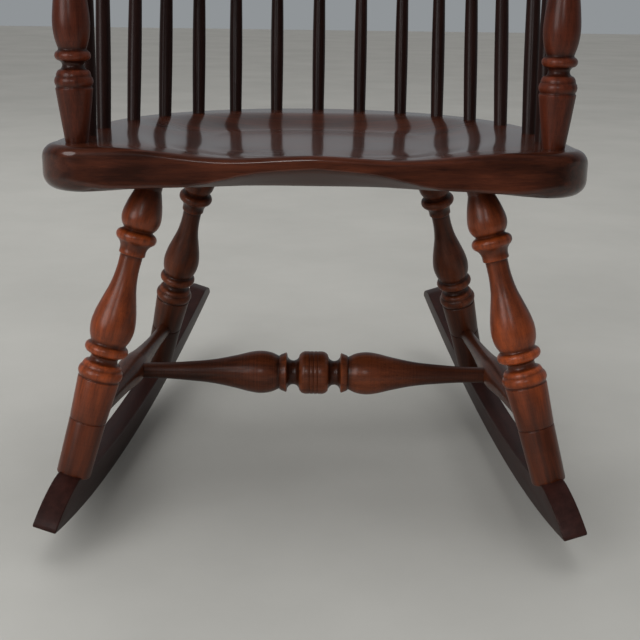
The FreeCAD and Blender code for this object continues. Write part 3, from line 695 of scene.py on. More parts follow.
def rod_tree():
    """A round rod: a spindle along a straight line, or an evenly thick one along a given path."""
    if "Turned or bent rod" in bpy.data.node_groups:
        return bpy.data.node_groups["Turned or bent rod"]
    tree = bpy.data.node_groups.new("Turned or bent rod", "GeometryNodeTree")
    add = partial(add_node, tree)
    for name, kind in ROD_INPUTS.items():
        tree.interface.new_socket(name, in_out="INPUT", socket_type="NodeSocket" + kind)
    tree.interface.new_socket("Geometry", in_out="OUTPUT", socket_type="NodeSocketGeometry")
    given = add("NodeGroupInput").outputs
    line = add("GeometryNodeCurvePrimitiveLine", {"Start": given["Foot"], "End": given["Head"]})
    path = add("GeometryNodeSwitch", {"Switch": given["Bent"], "False": line, "True": given["Path"]},
               input_type="GEOMETRY")
    even = add("GeometryNodeResampleCurve", {"Curve": path, "Count": given["Steps"]})
    place = add("GeometryNodeSplineParameter")
    # thickness below and above the rail
    below = add("ShaderNodeMath", {0: place, 1: given["Rail share"]}, operation="DIVIDE")
    above = add("ShaderNodeMapRange", {"Value": place, "From Min": given["Rail share"], "From Max": 1.0})
    low = add("ShaderNodeFloatCurve", {"Value": below})
    high = add("ShaderNodeFloatCurve", {"Value": above})
    for node, shares in ((low, SPINDLE_LOW_SHARES), (high, SPINDLE_HIGH_SHARES)):
        curve = node.mapping.curves[0]
        curve.points[0].location = shares[0]
        curve.points[-1].location = shares[-1]
        for place_share, radius_share in shares[1:-1]:
            curve.points.new(place_share, radius_share)
        node.mapping.update()
    is_high = add("FunctionNodeCompare", {0: place, 1: given["Rail share"]}, data_type="FLOAT",
                  operation="GREATER_THAN")
    part = add("GeometryNodeSwitch", {"Switch": is_high, "False": low, "True": high}, input_type="FLOAT")
    radius_share = add("GeometryNodeSwitch", {"Switch": given["Bent"], "False": part, "True": 1.0},
                       input_type="FLOAT")
    thickness = add("ShaderNodeMath", {0: radius_share, 1: given["Radius"]}, operation="MULTIPLY")
    # each point keeps how far along the rod and how far from its middle line it lies
    along = add("GeometryNodeCaptureAttribute", {"Geometry": even}, domain="POINT")
    along.capture_items.new("FLOAT", "Along")
    tree.links.new(place.outputs["Length"], along.inputs["Along"])
    ring = add("GeometryNodeCurvePrimitiveCircle", {"Resolution": given["Sides"], "Radius": 1.0})
    across = add("GeometryNodeCaptureAttribute", {"Geometry": ring}, domain="POINT")
    across.capture_items.new("VECTOR", "Across")
    tree.links.new(add("GeometryNodeInputPosition").outputs[0], across.inputs["Across"])
    rod = add("GeometryNodeCurveToMesh", {
        "Curve": along, "Profile Curve": across, "Scale": thickness, "Fill Caps": True})
    flat = add("ShaderNodeVectorMath", {0: across.outputs["Across"], "Scale": given["Radius"]},
               operation="SCALE")
    lift = add("ShaderNodeCombineXYZ", {"Z": along.outputs["Along"]})
    joined = add("ShaderNodeVectorMath", {0: flat, 1: lift}, operation="ADD")
    shifted = add("ShaderNodeVectorMath", {0: joined, 1: given["Board"]}, operation="ADD")
    stored = add("GeometryNodeStoreNamedAttribute", {"Geometry": rod, "Value": shifted, "Name": "grain"},
                 data_type="FLOAT_VECTOR", domain="POINT")
    real = add("GeometryNodeRealizeInstances", {"Geometry": stored})
    wooden = add("GeometryNodeSetMaterial", {"Geometry": real, "Material": given["Wood"]})
    add("NodeGroupOutput", {"Geometry": wooden})
    return tree


def rod_mesh(name, values, path=None):
    """The mesh that the rod tree gives for these values."""
    tree = rod_tree()
    holder = bpy.data.objects.new(name + "_path", path or bpy.data.meshes.new(name))
    bpy.context.scene.collection.objects.link(holder)
    modifier = holder.modifiers.new("Rod", "NODES")
    modifier.node_group = tree
    for item in tree.interface.items_tree:
        if item.in_out == "INPUT" and item.name in values:
            modifier[item.identifier] = values[item.name]
    evaluated = holder.evaluated_get(bpy.context.evaluated_depsgraph_get())
    mesh = bpy.data.meshes.new_from_object(evaluated)
    mesh.name = name
    bpy.data.objects.remove(holder)
    return mesh


# The seat


def seat_columns(seat):
    """Points round the seat's edge, each with its outward direction."""
    half = seat.width / 2
    back_half = half - seat.narrowing
    corner_y = seat.corner_drop - seat.front + seat.corner
    front_x = half - seat.corner
    sweep = (front_x ** 2 + seat.corner_drop ** 2) / (2 * seat.corner_drop)
    turn = asin(front_x / sweep)
    quarter = pi / 2
    shares = [i / 16 for i in range(17)]
    side = [(mix(half, back_half, smooth_step(t)), mix(corner_y, -seat.side_start, t)) for t in shares]
    columns = ellipse_arc(0, sweep - seat.front, sweep, sweep, -quarter - turn, -quarter + turn, 120)
    columns += ellipse_arc(front_x, corner_y, seat.corner, seat.corner, -quarter, 0, 24)
    columns += side[:-1]
    columns += ellipse_arc(0, -seat.side_start, back_half, seat.back_depth, 0, pi, 150)
    columns += [(-x, y) for x, y in side[:0:-1]]
    columns += ellipse_arc(-front_x, corner_y, seat.corner, seat.corner, pi, 3 * quarter, 24)
    out = []
    for i, place in enumerate(columns):
        way = Vector(columns[(i + 1) % len(columns)]) - Vector(columns[i - 1])
        out.append((Vector(place), Vector((way.y, -way.x)).normalized()))
    return out


def saddle_depth(seat, x, y):
    """How far the carved top lies below the flat rim."""
    reach = seat.saddle_back if y > 0 else seat.saddle_front
    half = seat.width / 2 - seat.saddle_margin
    ring = ((abs(x) / half) ** SADDLE_POWER + (abs(y) / reach) ** SADDLE_POWER) ** (1 / SADDLE_POWER)
    bowl = seat.saddle_depth * smooth_step((1 - ring) / SADDLE_WALL_SHARE)
    from_front = y + seat.front

    def rolled(depth, run):
        return depth * max(0.0, 1 - from_front / run) ** 2

    hollow = exp(-(((abs(x) - seat.thigh_place) / seat.thigh_spread) ** 2))
    thigh = seat.thigh_depth * smooth_step(1 - from_front / seat.thigh_reach) + rolled(*SIDE_ROLL)
    outer = entered(ROLL_END_ZONE, abs(x))
    return bowl + rolled(*(mix(a, b, outer) for a, b in zip(MIDDLE_ROLL, SIDE_ROLL))) + hollow * thigh


def edge_profile(seat, place):
    """(inset, height) points down the edge at a place: the top round's, then those of the face and of the
    round or scoop below it."""
    x, y = abs(place.x), place.y
    in_front = entered(FRONT_ZONE, -y)
    behind = entered(BACK_ZONE, y)
    top = mix(mix(TOP_ROUNDS["side"], TOP_ROUNDS["back"], behind),
              mix(TOP_ROUNDS["front"], TOP_ROUNDS["corner"], entered(CORNER_ZONE, x)), in_front)
    low = mix(mix(LOW_ROUNDS["side"], LOW_ROUNDS["back"], behind), LOW_ROUNDS["front"], in_front)
    thick = seat.thickness
    turns = [pi / 2 * i / 10 for i in range(11)]
    points = [(top * (1 - sin(a)), -top * (1 - cos(a))) for a in turns]
    turns = [pi / 2 * i / 8 for i in range(9)]
    rounded = [(low * (1 - cos(a)), low * (1 - sin(a)) - thick) for a in turns]
    i, t = between([p[0] for p in SCOOP_PLACES], x)
    t = (smooth_step(t) + held(t)) / 2
    rise, run = [mix(a, b, t) for a, b in zip(SCOOP_PLACES[i - 1][1:], SCOOP_PLACES[i][1:])]
    rise *= seat.scoop
    soft = SCOOP_EDGE
    slant = hypot(rise, run)
    u, v = soft * run / slant, soft * rise / slant
    high = rise - thick
    scoop = [(0.0, high + soft), (soft * 0.25, high + soft * 0.2), (u, high - v)]
    scoop += [(run * t, high - rise * t) for t in (0.25, 0.5, 0.75)]
    scoop += [(run - u, v - thick), (run + soft * 0.2, soft * 0.2 - thick), (run + soft, -thick)]
    amount = in_front * (1 - entered(SCOOP_END_ZONE, x))
    below = [(mix(r[0], s[0], amount), mix(r[1], s[1], amount)) for r, s in zip(rounded, scoop)]
    face = [(0.0, mix(-top, below[0][1], t)) for t in (0.08, 0.35, 0.65, 0.92)]
    return points, face + below


def make_seat_mesh(seat):
    columns = seat_columns(seat)
    edge_inset, top_loops, under_loops = 0.024, 56, 8
    place = seat_matrix(seat)
    profiles = [edge_profile(seat, point) for point, _ in columns]
    shift = board_shift("board")
    loops, grains, reliefs = [], [], []

    def in_wood(p):
        return Vector((p.y, p.z, p.x)) + shift

    def add_loop(points):
        loops.append([place @ p for p in points])
        grains.append([in_wood(p) for p in points])
        # the colour is darker round the front corners
        reliefs.append([-CORNER_DARKENING * entered(DARK_SIDE_ZONE, abs(p.x)) * entered(DARK_FRONT_ZONE, -p.y)
                        for p in points])

    def on_top(flat, drop=0.0):
        return Vector((flat.x, flat.y, -saddle_depth(seat, flat.x, flat.y) + drop))

    insets = [point - way * edge_inset for point, way in columns]
    for i in range(top_loops):
        add_loop([on_top(p * ((i + 1) / top_loops)) for p in insets])
    for i in range(len(profiles[0][0])):
        add_loop([on_top(point - way * tops[i][0], tops[i][1])
                  for (point, way), (tops, _) in zip(columns, profiles)])
    for i in range(len(profiles[0][1])):
        loop = []
        for (point, way), (_, lows) in zip(columns, profiles):
            inset, height = lows[i]
            flat = point - way * inset
            sunk = saddle_depth(seat, point.x, point.y) * held((height + seat.thickness) / seat.thickness)
            loop.append(Vector((flat.x, flat.y, height - sunk)))
        add_loop(loop)
    rim = [point - way * lows[-1][0] for (point, way), (_, lows) in zip(columns, profiles)]
    for i in range(under_loops, 0, -1):
        t = i / (under_loops + 1)
        add_loop([Vector((p.x * t, p.y * t, -seat.thickness)) for p in rim])
    caps = [(place @ p, in_wood(p)) for p in (on_top(Vector((0, 0))), Vector((0, 0, -seat.thickness)))]
    return loops_mesh("seat", loops, grains, caps, reliefs)


# The rockers


def rocker_axes(rocker):
    toe, cant = rocker.toe, rocker.cant
    outward = Vector((cos(toe), sin(toe), 0))
    along = Vector((-sin(toe), cos(toe), 0))
    up = Vector((0, 0, cos(cant))) - outward * sin(cant)
    across = outward * cos(cant) + Vector((0, 0, sin(cant)))
    return along, up, across


def rocker_base(chair):
    rocker = chair.rocker
    lift = ROCKER_EDGE * (1 - sin(rocker.cant) - cos(rocker.cant))
    return Vector((chair.seat.width / 2 - rocker.inset, rocker.contact, lift))


def rocker_level(rocker, s, radius):
    return rocker.radius - sqrt(radius ** 2 - s ** 2)


def bulged_points(start, end, bulge, steps):
    """A line's points, moved up square to it, most in the middle."""
    a, b = Vector(start), Vector(end)
    way = (b - a).normalized()
    side = Vector((-way.y, way.x))
    shares = [i / steps for i in range(steps + 1)]
    return [tuple(a.lerp(b, t) + side * bulge * 4 * t * (1 - t)) for t in shares]


def rocker_top_line(rocker):
    """The plank's upper edge from the front tip to the rear end, as (s, height) points."""
    inner = rocker.radius - rocker.height
    tips = [(s, rocker_level(rocker, s, rocker.radius) + ROCKER_TIP) for s in (-rocker.front, rocker.rear)]
    nose = rocker.nose - rocker.front
    tail = rocker.rear - rocker.tail
    places = [mix(nose, tail, i / 120) for i in range(121)]
    curve = [(s, rocker_level(rocker, s, inner)) for s in places]
    return (bulged_points(tips[0], curve[0], rocker.nose_bulge, 24) + curve[1:-1]
            + bulged_points(curve[-1], tips[1], rocker.tail_bulge, 24))


def section_points(low, high, thick, radius):
    """A rounded rectangle of the plank's section, as (across, height) points."""
    r = min(radius, (high - low) * 0.35)
    out = []
    corners = ((thick - r, high - r), (r, high - r), (r, low + r), (thick - r, low + r))
    for start, (cx, cy) in enumerate(corners):
        for i in range(5):
            a = pi / 2 * (start + i / 4)
            out.append((cx + r * cos(a), cy + r * sin(a)))
    return out


def make_rocker_mesh(chair, name):
    rocker = chair.rocker
    base = rocker_base(chair)
    along, up, across = rocker_axes(rocker)
    line = rocker_top_line(rocker)
    places = [p[0] for p in line]
    shift = board_shift(name)
    front, rear = -rocker.front, rocker.rear
    end = ROCKER_END_STEPS[-1][0]
    stations = [(front + run, inset) for run, inset in ROCKER_END_STEPS]
    stations += [(mix(front + end, rear - end, i / 170), 0.0) for i in range(1, 170)]
    stations += [(rear - run, inset) for run, inset in reversed(ROCKER_END_STEPS)]
    loops, grains = [], []
    for s, inset in stations:
        low = rocker_level(rocker, s, rocker.radius) + inset
        i, t = between(places, s)
        high = max(low + 0.0006, mix(line[i - 1][1], line[i][1], t) - inset)
        section = section_points(low, high, rocker.thickness - 2 * inset, ROCKER_EDGE)
        loops.append([base + along * s + up * h + across * (t + inset) for t, h in section])
        grains.append([Vector((h * 1.2, t, s)) + shift for t, h in section])
    return loops_mesh(name, loops, grains)


# Legs, stretchers and posts


def leg_line(chair, front):
    """Foot and top of a right-hand leg."""
    seat, leg, rocker = chair.seat, chair.leg, chair.rocker
    s = -rocker.front_foot if front else rocker.rear_foot
    along, up, across = rocker_axes(rocker)
    high = rocker_level(rocker, s, rocker.radius - rocker.height)
    foot = rocker_base(chair) + along * s + up * high + across * (rocker.thickness / 2)
    x = seat.width / 2 - (leg.front_inset if front else leg.rear_inset)
    y = -leg.front_place if front else leg.rear_place
    top = seat_matrix(seat) @ Vector((x, y, -seat.thickness))
    return foot - (top - foot).normalized() * FOOT_SEAT_DEPTH, top


def make_leg_mesh(leg, name, foot, top):
    long = (top - foot).length
    outline = turned_outline((leg.radius * LEG_FOOT_SHARE, 0), LEG_SHARES, 0, leg.pattern, leg.radius)
    head = long - leg.neck - leg.pattern
    outline += turned_outline(outline[-1], LEG_HEAD_SHARES, leg.pattern, head, leg.radius)[1:]
    outline.append((outline[-1][0], long + TENON))
    # darker towards the foot; at the top of the head, just under the seat, partly a deeper stain and partly
    # painted shade
    darkened_heights = ((0, 1.3), (0.050, 1.0), (0.100, 0.35), (0.125, 0.0), (long - 0.034, 0.05),
             (long - 0.006, 0.85))
    return turned_mesh(name, soften(outline, LEG_SOFTNESS), foot, top, 80, darkened_heights)


def stretcher_ends(chair):
    """The right side stretcher's two ends and its bulb, where the medial stretcher goes in."""
    stretcher = chair.stretcher
    ends = []
    for front, height in ((True, stretcher.front_height), (False, stretcher.rear_height)):
        foot, top = leg_line(chair, front)
        ends.append(foot + (top - foot).normalized() * height)
    return ends[0], ends[1], ends[0].lerp(ends[1], stretcher.bulb_share)


def make_side_stretcher_mesh(stretcher, name, front, rear):
    long = (rear - front).length
    near, far = stretcher.surface, long - stretcher.surface
    bulb_at = long * stretcher.bulb_share
    thin = stretcher.side_end
    swell = stretcher.bulb_radius - thin
    points = [(thin, near)]
    points += [(thin + swell * r, mix(near, bulb_at, u)) for u, r in SIDE_FRONT_SHARES]
    points.append((stretcher.bulb_radius, bulb_at))
    points += [(thin + swell * r, mix(far, bulb_at, u)) for u, r in reversed(SIDE_REAR_SHARES)]
    points.append((thin, far))
    outline = [(thin, near - TENON), points[0]] + curve_points(points, 14) + [(thin, far + TENON)]
    return turned_mesh(name, outline, front, rear, 48, ((0, 0.45), (long, 0.45)))


def make_medial_mesh(stretcher, name, bulb):
    half = bulb.x - stretcher.bulb_radius
    radius = stretcher.medial_radius
    wing = turned_outline((radius * MEDIAL_START_SHARE, 0), MEDIAL_SHARES, 0, half, radius)
    wing.append((wing[-1][0], half + MEDIAL_TENON))
    outline = [(r, -h) for r, h in reversed(wing)] + wing[1:]
    centre = Vector((0, bulb.y, bulb.z))
    darkened_heights = ((-half, 0.95), (-0.120, 0.65), (-0.060, 0.10), (0.075, -0.10), (0.130, 0.55), (half, 0.95))
    return turned_mesh(name, soften(outline, TURNED_SOFTNESS), centre, bulb, 80, darkened_heights)


def make_post_mesh(arm, name, foot, head):
    long = (head - foot).length
    outline = turned_outline((arm.post_radius * POST_FOOT_SHARE, 0), POST_SHARES, 0, long, arm.post_radius)
    outline.insert(0, (outline[0][0], -POST_TENON))
    outline.append((outline[-1][0], long + POST_TENON))
    return turned_mesh(name, soften(outline, TURNED_SOFTNESS), foot, head, 64)


# The bent arm rail and its widened ends


def arm_widths(arm, half_row, y):
    """Inner and outer x of the right arm at y, ahead of where the rail starts to curve."""
    inner = half_row - arm.width / 2
    outer = half_row + arm.width / 2
    wide = outer + arm.block_width
    foremost = inner + arm.foremost
    depth = y + arm.front

    def rounded(end, run):
        return mix(foremost, end, sqrt(max(0.0, 1 - (1 - depth / run) ** 2)))

    inner_x = rounded(inner, arm.inner_round) if depth < arm.inner_round else inner
    if depth < arm.outer_round:
        return inner_x, rounded(wide, arm.outer_round)
    return inner_x, mix(wide, outer, entered((arm.outer_round, arm.block_length - arm.outer_round), depth))


def crowded(steps):
    """Shares from 0 to 1, close together at both ends."""
    return [0.5 - 0.5 * cos(pi * i / steps) for i in range(steps + 1)]


def rail_section(arm, a, b, steps, from_edge):
    """Points from flat place a to flat place b over the top, and back below. From_edge gives a place's
    distance from the outline, where the rounded edge falls."""
    top, under = [], []
    for t in crowded(steps):
        flat = a.lerp(b, t)
        inside = max(0.0, arm.edge - from_edge(flat, t))
        half = arm.thickness / 2 - arm.edge + sqrt(max(0.0, arm.edge ** 2 - inside ** 2))
        top.append(Vector((flat.x, flat.y, arm.height + half)))
        under.append(Vector((flat.x, flat.y, arm.height - half)))
    return top + under[::-1]


def arm_outline(arm, half_row):
    """Dense points of the right arm's outline, ahead of the curve, crowded at the front."""
    front_run, past = 0.150, 0.020
    outline = []
    for i in range(160):
        y = -arm.front + front_run * (i / 159) ** 2
        outline += [Vector((x, y)) for x in arm_widths(arm, half_row, y)]
    for i in range(120):
        y = mix(-arm.front + front_run, arm.side_start + past, i / 119)
        outline += [Vector((half_row + side * arm.width / 2, y)) for side in (-1, 1)]
    return outline


def arm_sections(chair, stations, steps, block):
    """(y, section) of the right arm, or of the block glued to its outside, at the stations."""
    arm, half_row = chair.arm, row_half(chair)
    seam = half_row + arm.width / 2
    outline = arm_outline(arm, half_row)
    sections = []
    for y in stations:
        inner_x, outer_x = arm_widths(arm, half_row, y)
        if block and outer_x < seam + SEAM_GAP * 1.2:
            continue
        ends = (seam + SEAM_GAP, outer_x) if block else (inner_x, min(outer_x, seam))
        near = [q for q in outline if abs(q.y - y) < 0.03]
        section = rail_section(arm, Vector((ends[0], y)), Vector((ends[1], y)), steps,
                               lambda flat, _: min((flat - q).length for q in near))
        sections.append((y, section))
    return sections


def make_rail_mesh(chair):
    """The rail, as sections from the front of the right arm round the back to the front of the left."""
    arm, half_row = chair.arm, row_half(chair)
    place = seat_matrix(chair.seat)
    shift = board_shift("arm_rail")
    start, front_run, steps = 0.00002, 0.120, 16
    stations = [-arm.front + start + front_run * (i / 60) ** 2.2 for i in range(61)]
    stations += [mix(-arm.front + front_run, arm.side_start, i / 24) for i in range(1, 24)]
    right = [(section, -y) for y, section in arm_sections(chair, stations, steps, False)]
    back = []
    for i in range(121):
        a = pi * i / 120
        ends = [Vector(((half_row + e) * cos(a), arm.side_start + (arm.back_depth + e) * sin(a)))
                for e in (-arm.width / 2, arm.width / 2)]
        section = rail_section(arm, *ends, steps, lambda _, t: min(t, 1 - t) * arm.width)
        back.append((section, -arm.side_start - half_row * a))
    end = 2 * -(arm.side_start + half_row * pi / 2)
    left = [([Vector((-p.x, p.y, p.z)) for p in section], end - run) for section, run in reversed(right)]
    loops, grains = [], []
    for section, run in right + back + left:
        loops.append([place @ p for p in section])
        middle = (section[0] + section[steps]).xy / 2
        inwards = (section[0] - section[steps]).xy.normalized()
        grains.append([Vector(((p.xy - middle).dot(inwards), p.z, run)) + shift for p in section])
    return loops_mesh("arm_rail", loops, grains)


def make_hand_mesh(chair, name):
    """The block glued to the outside of the right arm's end."""
    start, short = 0.00002, 0.0002
    place = seat_matrix(chair.seat)
    shift = board_shift(name)
    stations = [-chair.arm.front + start + (chair.arm.block_length - short) * t for t in crowded(70)]
    sections = [section for _, section in arm_sections(chair, stations, 14, True)]
    loops = [[place @ p for p in section] for section in sections]
    grains = [[Vector((p.x, p.z, p.y)) + shift for p in section] for section in sections]
    return loops_mesh(name, loops, grains)


# The hoop and the spindles


def hoop_line(chair):
    """The hoop's middle line, in the seat's frame: a function for its place over x, and its points from the
    right foot over the top to the left foot."""
    arm, hoop = chair.arm, chair.hoop
    lean, turn = hoop.lean, hoop.side_turn
    half = row_half(chair) - hoop.inset
    top_radius = half - hoop.shoulder
    side_radius = (half - top_radius * cos(turn)) / (1 - cos(turn))
    side_x = half - side_radius
    top_up = hoop.height - top_radius
    side_up = top_up - (side_radius - top_radius) * sin(turn)
    foot_y = curve_y(half, row_half(chair), arm.side_start, arm.back_depth)

    def place(x, up):
        return Vector((x, foot_y + up * sin(lean), arm.height + up * cos(lean)))

    def above(x):
        if abs(x) <= top_radius * cos(turn):
            return place(x, top_up + sqrt(top_radius ** 2 - x ** 2))
        return place(x, side_up + sqrt(side_radius ** 2 - (abs(x) - side_x) ** 2))

    flat = [(half, mix(0.0, side_up, i / 16)) for i in range(16)]
    flat += ellipse_arc(side_x, side_up, side_radius, side_radius, 0, turn, 24)
    flat += ellipse_arc(0, top_up, top_radius, top_radius, turn, pi / 2, 32)
    whole = flat + [(0.0, top_up + top_radius)] + [(-x, up) for x, up in reversed(flat)]
    return above, [place(x, up) for x, up in whole]


def spindle_lines(chair):
    """Node name, foot and far end of every spindle, in the seat's frame."""
    spindle, arm, half_row = chair.spindle, chair.arm, row_half(chair)
    feet = (half_row, -spindle.side_start, spindle.back_depth)
    above_rail, _ = hoop_line(chair)
    lines = []
    for number, foot_share in enumerate(LONG_SPINDLE_SHARES):
        x = foot_share * half_row
        y = curve_y(x, *feet)
        if number == 0:
            lines.append(("long_spindle_middle", Vector((0, y, 0)), above_rail(0)))
            continue
        for side, sign in SIDES.items():
            lines.append(("long_spindle_%s_%d" % (side, number), Vector((sign * x, y, 0)),
                          above_rail(sign * x)))
    for number, (foot_y, top_y) in enumerate(zip(SHORT_FEET, SHORT_TOPS)):
        foot_x = curve_x(foot_y, *feet)
        top_x = curve_x(top_y, half_row, arm.side_start, arm.back_depth)
        for side, sign in SIDES.items():
            lines.append(("short_spindle_%s_%d" % (side, number + 1), Vector((sign * foot_x, foot_y, 0)),
                          Vector((sign * top_x, top_y, arm.height))))
    return lines


# Operators


class CHAIR_OT_stage(Operator):
    """Make the pale floor, the soft lights and the camera"""
    bl_idname = "chair.make_stage"
    bl_label = "Floor, Lights and Camera"

    # place, width, height and power, and whether the lamp lights the wood or shines back from its lacquer
    lamps = {"window": ((-1.7, -1.9, 1.25), 1.7, 2.0, 29.0, True, False),
             "window_glint": ((-1.62, -1.82, 1.22), 1.2, 1.6, 18.0, False, True),
             "far_window": ((-0.25, -3.0, 1.5), 0.5, 0.6, 7.0, True, True),
             "ceiling": ((-0.3, 0.1, 4.4), 5.0, 5.0, 72.0, True, False),
             "behind": ((-1.9, 1.9, 2.0), 1.6, 1.6, 8.0, True, False)}

    def execute(self, context):
        scene = context.scene
        stage, finish = scene.chair.stage, scene.chair.finish
        reach = stage.floor
        mesh = bpy.data.meshes.new("floor")
        corners = [(-reach, -reach, 0), (reach, -reach, 0), (reach, reach, 0), (-reach, reach, 0)]
        mesh.from_pydata(corners, [], [(0, 1, 2, 3)])
        floor = bpy.data.objects.new("floor", mesh)
        scene.collection.objects.link(floor)
        mesh.materials.append(self.floor_paint(finish))
        self.surroundings(scene, finish)
        for name, (place, wide, high, power, lights, shines) in self.lamps.items():
            data = bpy.data.lights.new(name, "AREA")
            data.shape = "ELLIPSE"
            data.size = wide
            data.size_y = high
            data.energy = power
            lamp = bpy.data.objects.new(name, data)
            lamp.location = place
            way = Vector((0, 0, stage.target)) - Vector(place)
            lamp.rotation_euler = way.to_track_quat("-Z", "Y").to_euler()
            lamp.visible_diffuse = lights
            lamp.visible_glossy = shines
            scene.collection.objects.link(lamp)
        self.camera(scene, stage)
        scene.view_settings.view_transform = "Standard"
        return {"FINISHED"}

    def floor_paint(self, finish):
        """Worn pale paint, with faint clouds of grey."""
        material = bpy.data.materials.new("Pale floor paint")
        tree = cleared_tree(material)
        add = partial(add_node, tree)
        where = add("ShaderNodeTexCoord").outputs["Object"]
        clouds = add("ShaderNodeTexNoise", {
            "Vector": where, "Scale": 2.2, "Detail": 5.0, "Roughness": 0.6})
        ramp = add("ShaderNodeValToRGB", {"Fac": clouds})
        set_stops(ramp, finish.floor, ((0.35, 0.93), (0.65, 1.03)))
        shader = add("ShaderNodeBsdfPrincipled", {
            "Base Color": ramp, "Roughness": 0.85, "Specular IOR Level": 0.15})
        # painted reflection: rays mirrored by the lacquer see the floor far in front of the chair as a dim
        # glowing colour, not the lit floor
        along = add("ShaderNodeSeparateXYZ", {0: where}).outputs["Y"]
        far = add("ShaderNodeMapRange", {"Value": along, "From Min": -1.0, "From Max": -2.2})
        glossy = add("ShaderNodeLightPath").outputs["Is Glossy Ray"]
        amount = add("ShaderNodeMath", {0: far, 1: glossy}, operation="MULTIPLY")
        dim = add("ShaderNodeEmission", {"Color": tuple(finish.far_floor) + (1.0,)})
        both = add("ShaderNodeMixShader", {0: amount, 1: shader, 2: dim})
        add("ShaderNodeOutputMaterial", {"Surface": both})
        return material

    def surroundings(self, scene, finish):
        scene.world = bpy.data.worlds.new("Pale grey room")
        tree = cleared_tree(scene.world)
        add = partial(add_node, tree)
        wall = tuple(finish.wall) + (1.0,)
        light = add("ShaderNodeBackground", {"Color": (1.0, 1.0, 1.0, 1.0), "Strength": 0.60})
        seen = add("ShaderNodeBackground", {"Color": wall, "Strength": 1.0})
        # what the lacquer mirrors: the pale wall behind the chair, and the dimmer room in front of it
        way = add("ShaderNodeTexCoord").outputs["Generated"]
        back = add("ShaderNodeSeparateXYZ", {0: way}).outputs["Y"]
        behind = add("ShaderNodeMapRange", {
            "Value": back, "From Min": -0.25, "From Max": 0.45, "To Min": 0.10, "To Max": 1.0})
        mirrored = add("ShaderNodeBackground", {"Strength": behind, "Color": wall})
        ray = add("ShaderNodeLightPath").outputs
        soft = add("ShaderNodeMixShader", {0: ray["Is Glossy Ray"], 1: light, 2: mirrored})
        both = add("ShaderNodeMixShader", {0: ray["Is Camera Ray"], 1: soft, 2: seen})
        add("ShaderNodeOutputWorld", {"Surface": both})

    def camera(self, scene, stage):
        data = bpy.data.cameras.new("camera")
        data.lens = stage.lens
        data.sensor_width = 36.0
        camera = bpy.data.objects.new("camera", data)
        pose = Matrix.Translation(stage.camera)
        for turn, axis in ((-stage.yaw, "Z"), (pi / 2 - stage.pitch, "X"), (stage.roll, "Z")):
            pose @= Matrix.Rotation(turn, 4, axis)
        camera.matrix_world = pose
        scene.collection.objects.link(camera)
        scene.camera = camera


class CHAIR_OT_seat(Operator):
    """Carve the seat plank: saddle, thigh hollows, rounded edge and the scoop under the front"""
    bl_idname = "chair.make_seat"
    bl_label = "Carved Seat"

    def execute(self, context):
        mesh = make_seat_mesh(context.scene.chair.seat)
        finished("carved_seat", "seat", mesh, wood_for("Lacquered seat plank"),
                 wood_for("Thinly sealed underside"))
        return {"FINISHED"}


class CHAIR_OT_base(Operator):
    """Turn the four splayed legs, saw the two curved rockers and turn the H of three stretchers"""
    bl_idname = "chair.make_base"
    bl_label = "Legs, Rockers and Stretchers"

    def execute(self, context):
        chair = context.scene.chair
        for kind, wood in (("front_leg", "Orange brown turned legs"), ("rear_leg", "Deep brown rear legs")):
            foot, top = leg_line(chair, kind == "front_leg")
            mesh = make_leg_mesh(chair.leg, kind + "_right", foot, top)
            finished_pair("turned", kind, mesh, wood_for(wood))
        mesh = make_rocker_mesh(chair, "rocker_right")
        finished_pair("sawn", "rocker", mesh, wood_for("Dark stained rockers"))
        wood = wood_for("Brown turned stretchers")
        front, rear, bulb = stretcher_ends(chair)
        mesh = make_side_stretcher_mesh(chair.stretcher, "side_stretcher_right", front, rear)
        finished_pair("turned", "side_stretcher", mesh, wood)
        mesh = make_medial_mesh(chair.stretcher, "medial_stretcher", bulb)
        finished("turned_medial_stretcher", "medial_stretcher", mesh, wood)
        return {"FINISHED"}


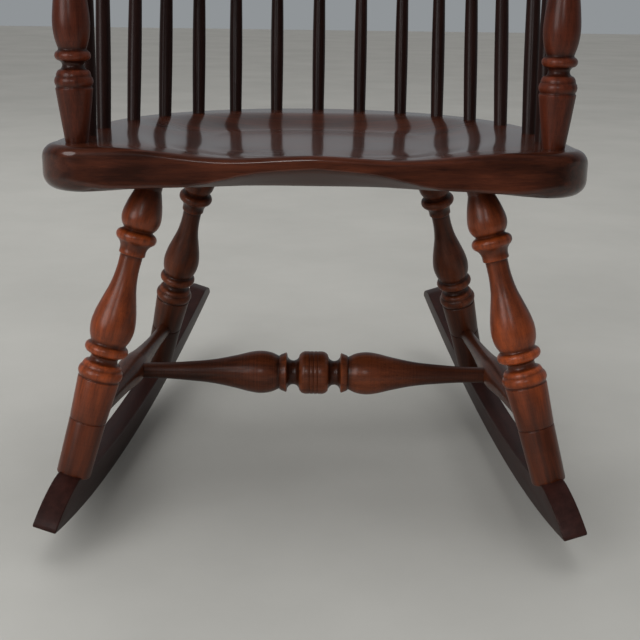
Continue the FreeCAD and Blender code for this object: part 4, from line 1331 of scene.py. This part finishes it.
class CHAIR_OT_spindles(Operator):
    """Turn the two arm posts and the fifteen spindles between the seat, the rail and the hoop"""
    bl_idname = "chair.make_spindles"
    bl_label = "Arm Posts and Spindles"

    def execute(self, context):
        chair = context.scene.chair
        spindle, arm = chair.spindle, chair.arm
        place = seat_matrix(chair.seat)
        rail_under = arm.height - arm.thickness / 2
        foot, head = [place @ Vector((row_half(chair), -arm.post_place, up)) for up in (0, rail_under)]
        mesh = make_post_mesh(arm, "arm_post_right", foot, head)
        finished_pair("turned", "arm_post", mesh, wood_for("Red brown arm posts"))
        wood = wood_for("Dark stained spindles")
        for name, foot, tip in spindle_lines(chair):
            start = foot - (tip - foot).normalized() * SPINDLE_TENON
            values = {"Foot": place @ start, "Head": place @ tip, "Radius": spindle.radius,
                      "Rail share": rail_under / tip.z, "Bent": False, "Sides": spindle.sides,
                      "Steps": spindle.steps, "Board": board_shift(name), "Wood": wood}
            finished("turned_" + name, name, rod_mesh(name, values), wood)
        return {"FINISHED"}


class CHAIR_OT_back(Operator):
    """Bend the arm rail, glue on the blocks that widen its ends, and bend the hoop that stands on it"""
    bl_idname = "chair.make_back"
    bl_label = "Arm Rail and Hoop"

    def execute(self, context):
        chair = context.scene.chair
        slot, hoop = "bent_arms_and_hoop", chair.hoop
        wood = wood_for("Bent red brown arms and hoop")
        finished("bent_arm_rail", "arm_rail", make_rail_mesh(chair), wood)
        finished_pair("shaped", "arm_hand", make_hand_mesh(chair, "arm_hand_right"), wood)
        _, points = hoop_line(chair)
        path = bpy.data.curves.new("hoop_line", "CURVE")
        path.dimensions = "3D"
        spline = path.splines.new("POLY")
        spline.points.add(len(points) - 1)
        place = seat_matrix(chair.seat)
        for point, where in zip(spline.points, points):
            point.co = (place @ where).to_4d()
        values = {"Radius": hoop.radius, "Rail share": 1.0, "Bent": True, "Sides": hoop.sides,
                  "Steps": hoop.steps, "Board": board_shift("hoop"), "Wood": wood}
        finished("bent_hoop", "hoop", rod_mesh("hoop", values, path), wood)
        return {"FINISHED"}


OPERATORS = (CHAIR_OT_stage, CHAIR_OT_seat, CHAIR_OT_base, CHAIR_OT_spindles, CHAIR_OT_back)


class CHAIR_PT_panel(Panel):
    """The chair's pieces, in the order they are made"""
    bl_label = "Rocking Chair"
    bl_idname = "CHAIR_PT_panel"
    bl_space_type = "VIEW_3D"
    bl_region_type = "UI"
    bl_category = "Rocking Chair"

    def draw(self, context):
        for maker in OPERATORS:
            self.layout.operator(maker.bl_idname)


CLASSES = (*PARTS.values(), ChairSizes, *OPERATORS, CHAIR_PT_panel)


def register():
    for item in CLASSES:
        bpy.utils.register_class(item)
    bpy.types.Scene.chair = PointerProperty(type=ChairSizes)


def unregister():
    del bpy.types.Scene.chair
    for item in reversed(CLASSES):
        bpy.utils.unregister_class(item)


def main():
    register()
    for maker in OPERATORS:
        group, name = maker.bl_idname.split(".")
        getattr(getattr(bpy.ops, group), name)()


if __name__ == "__main__":
    main()
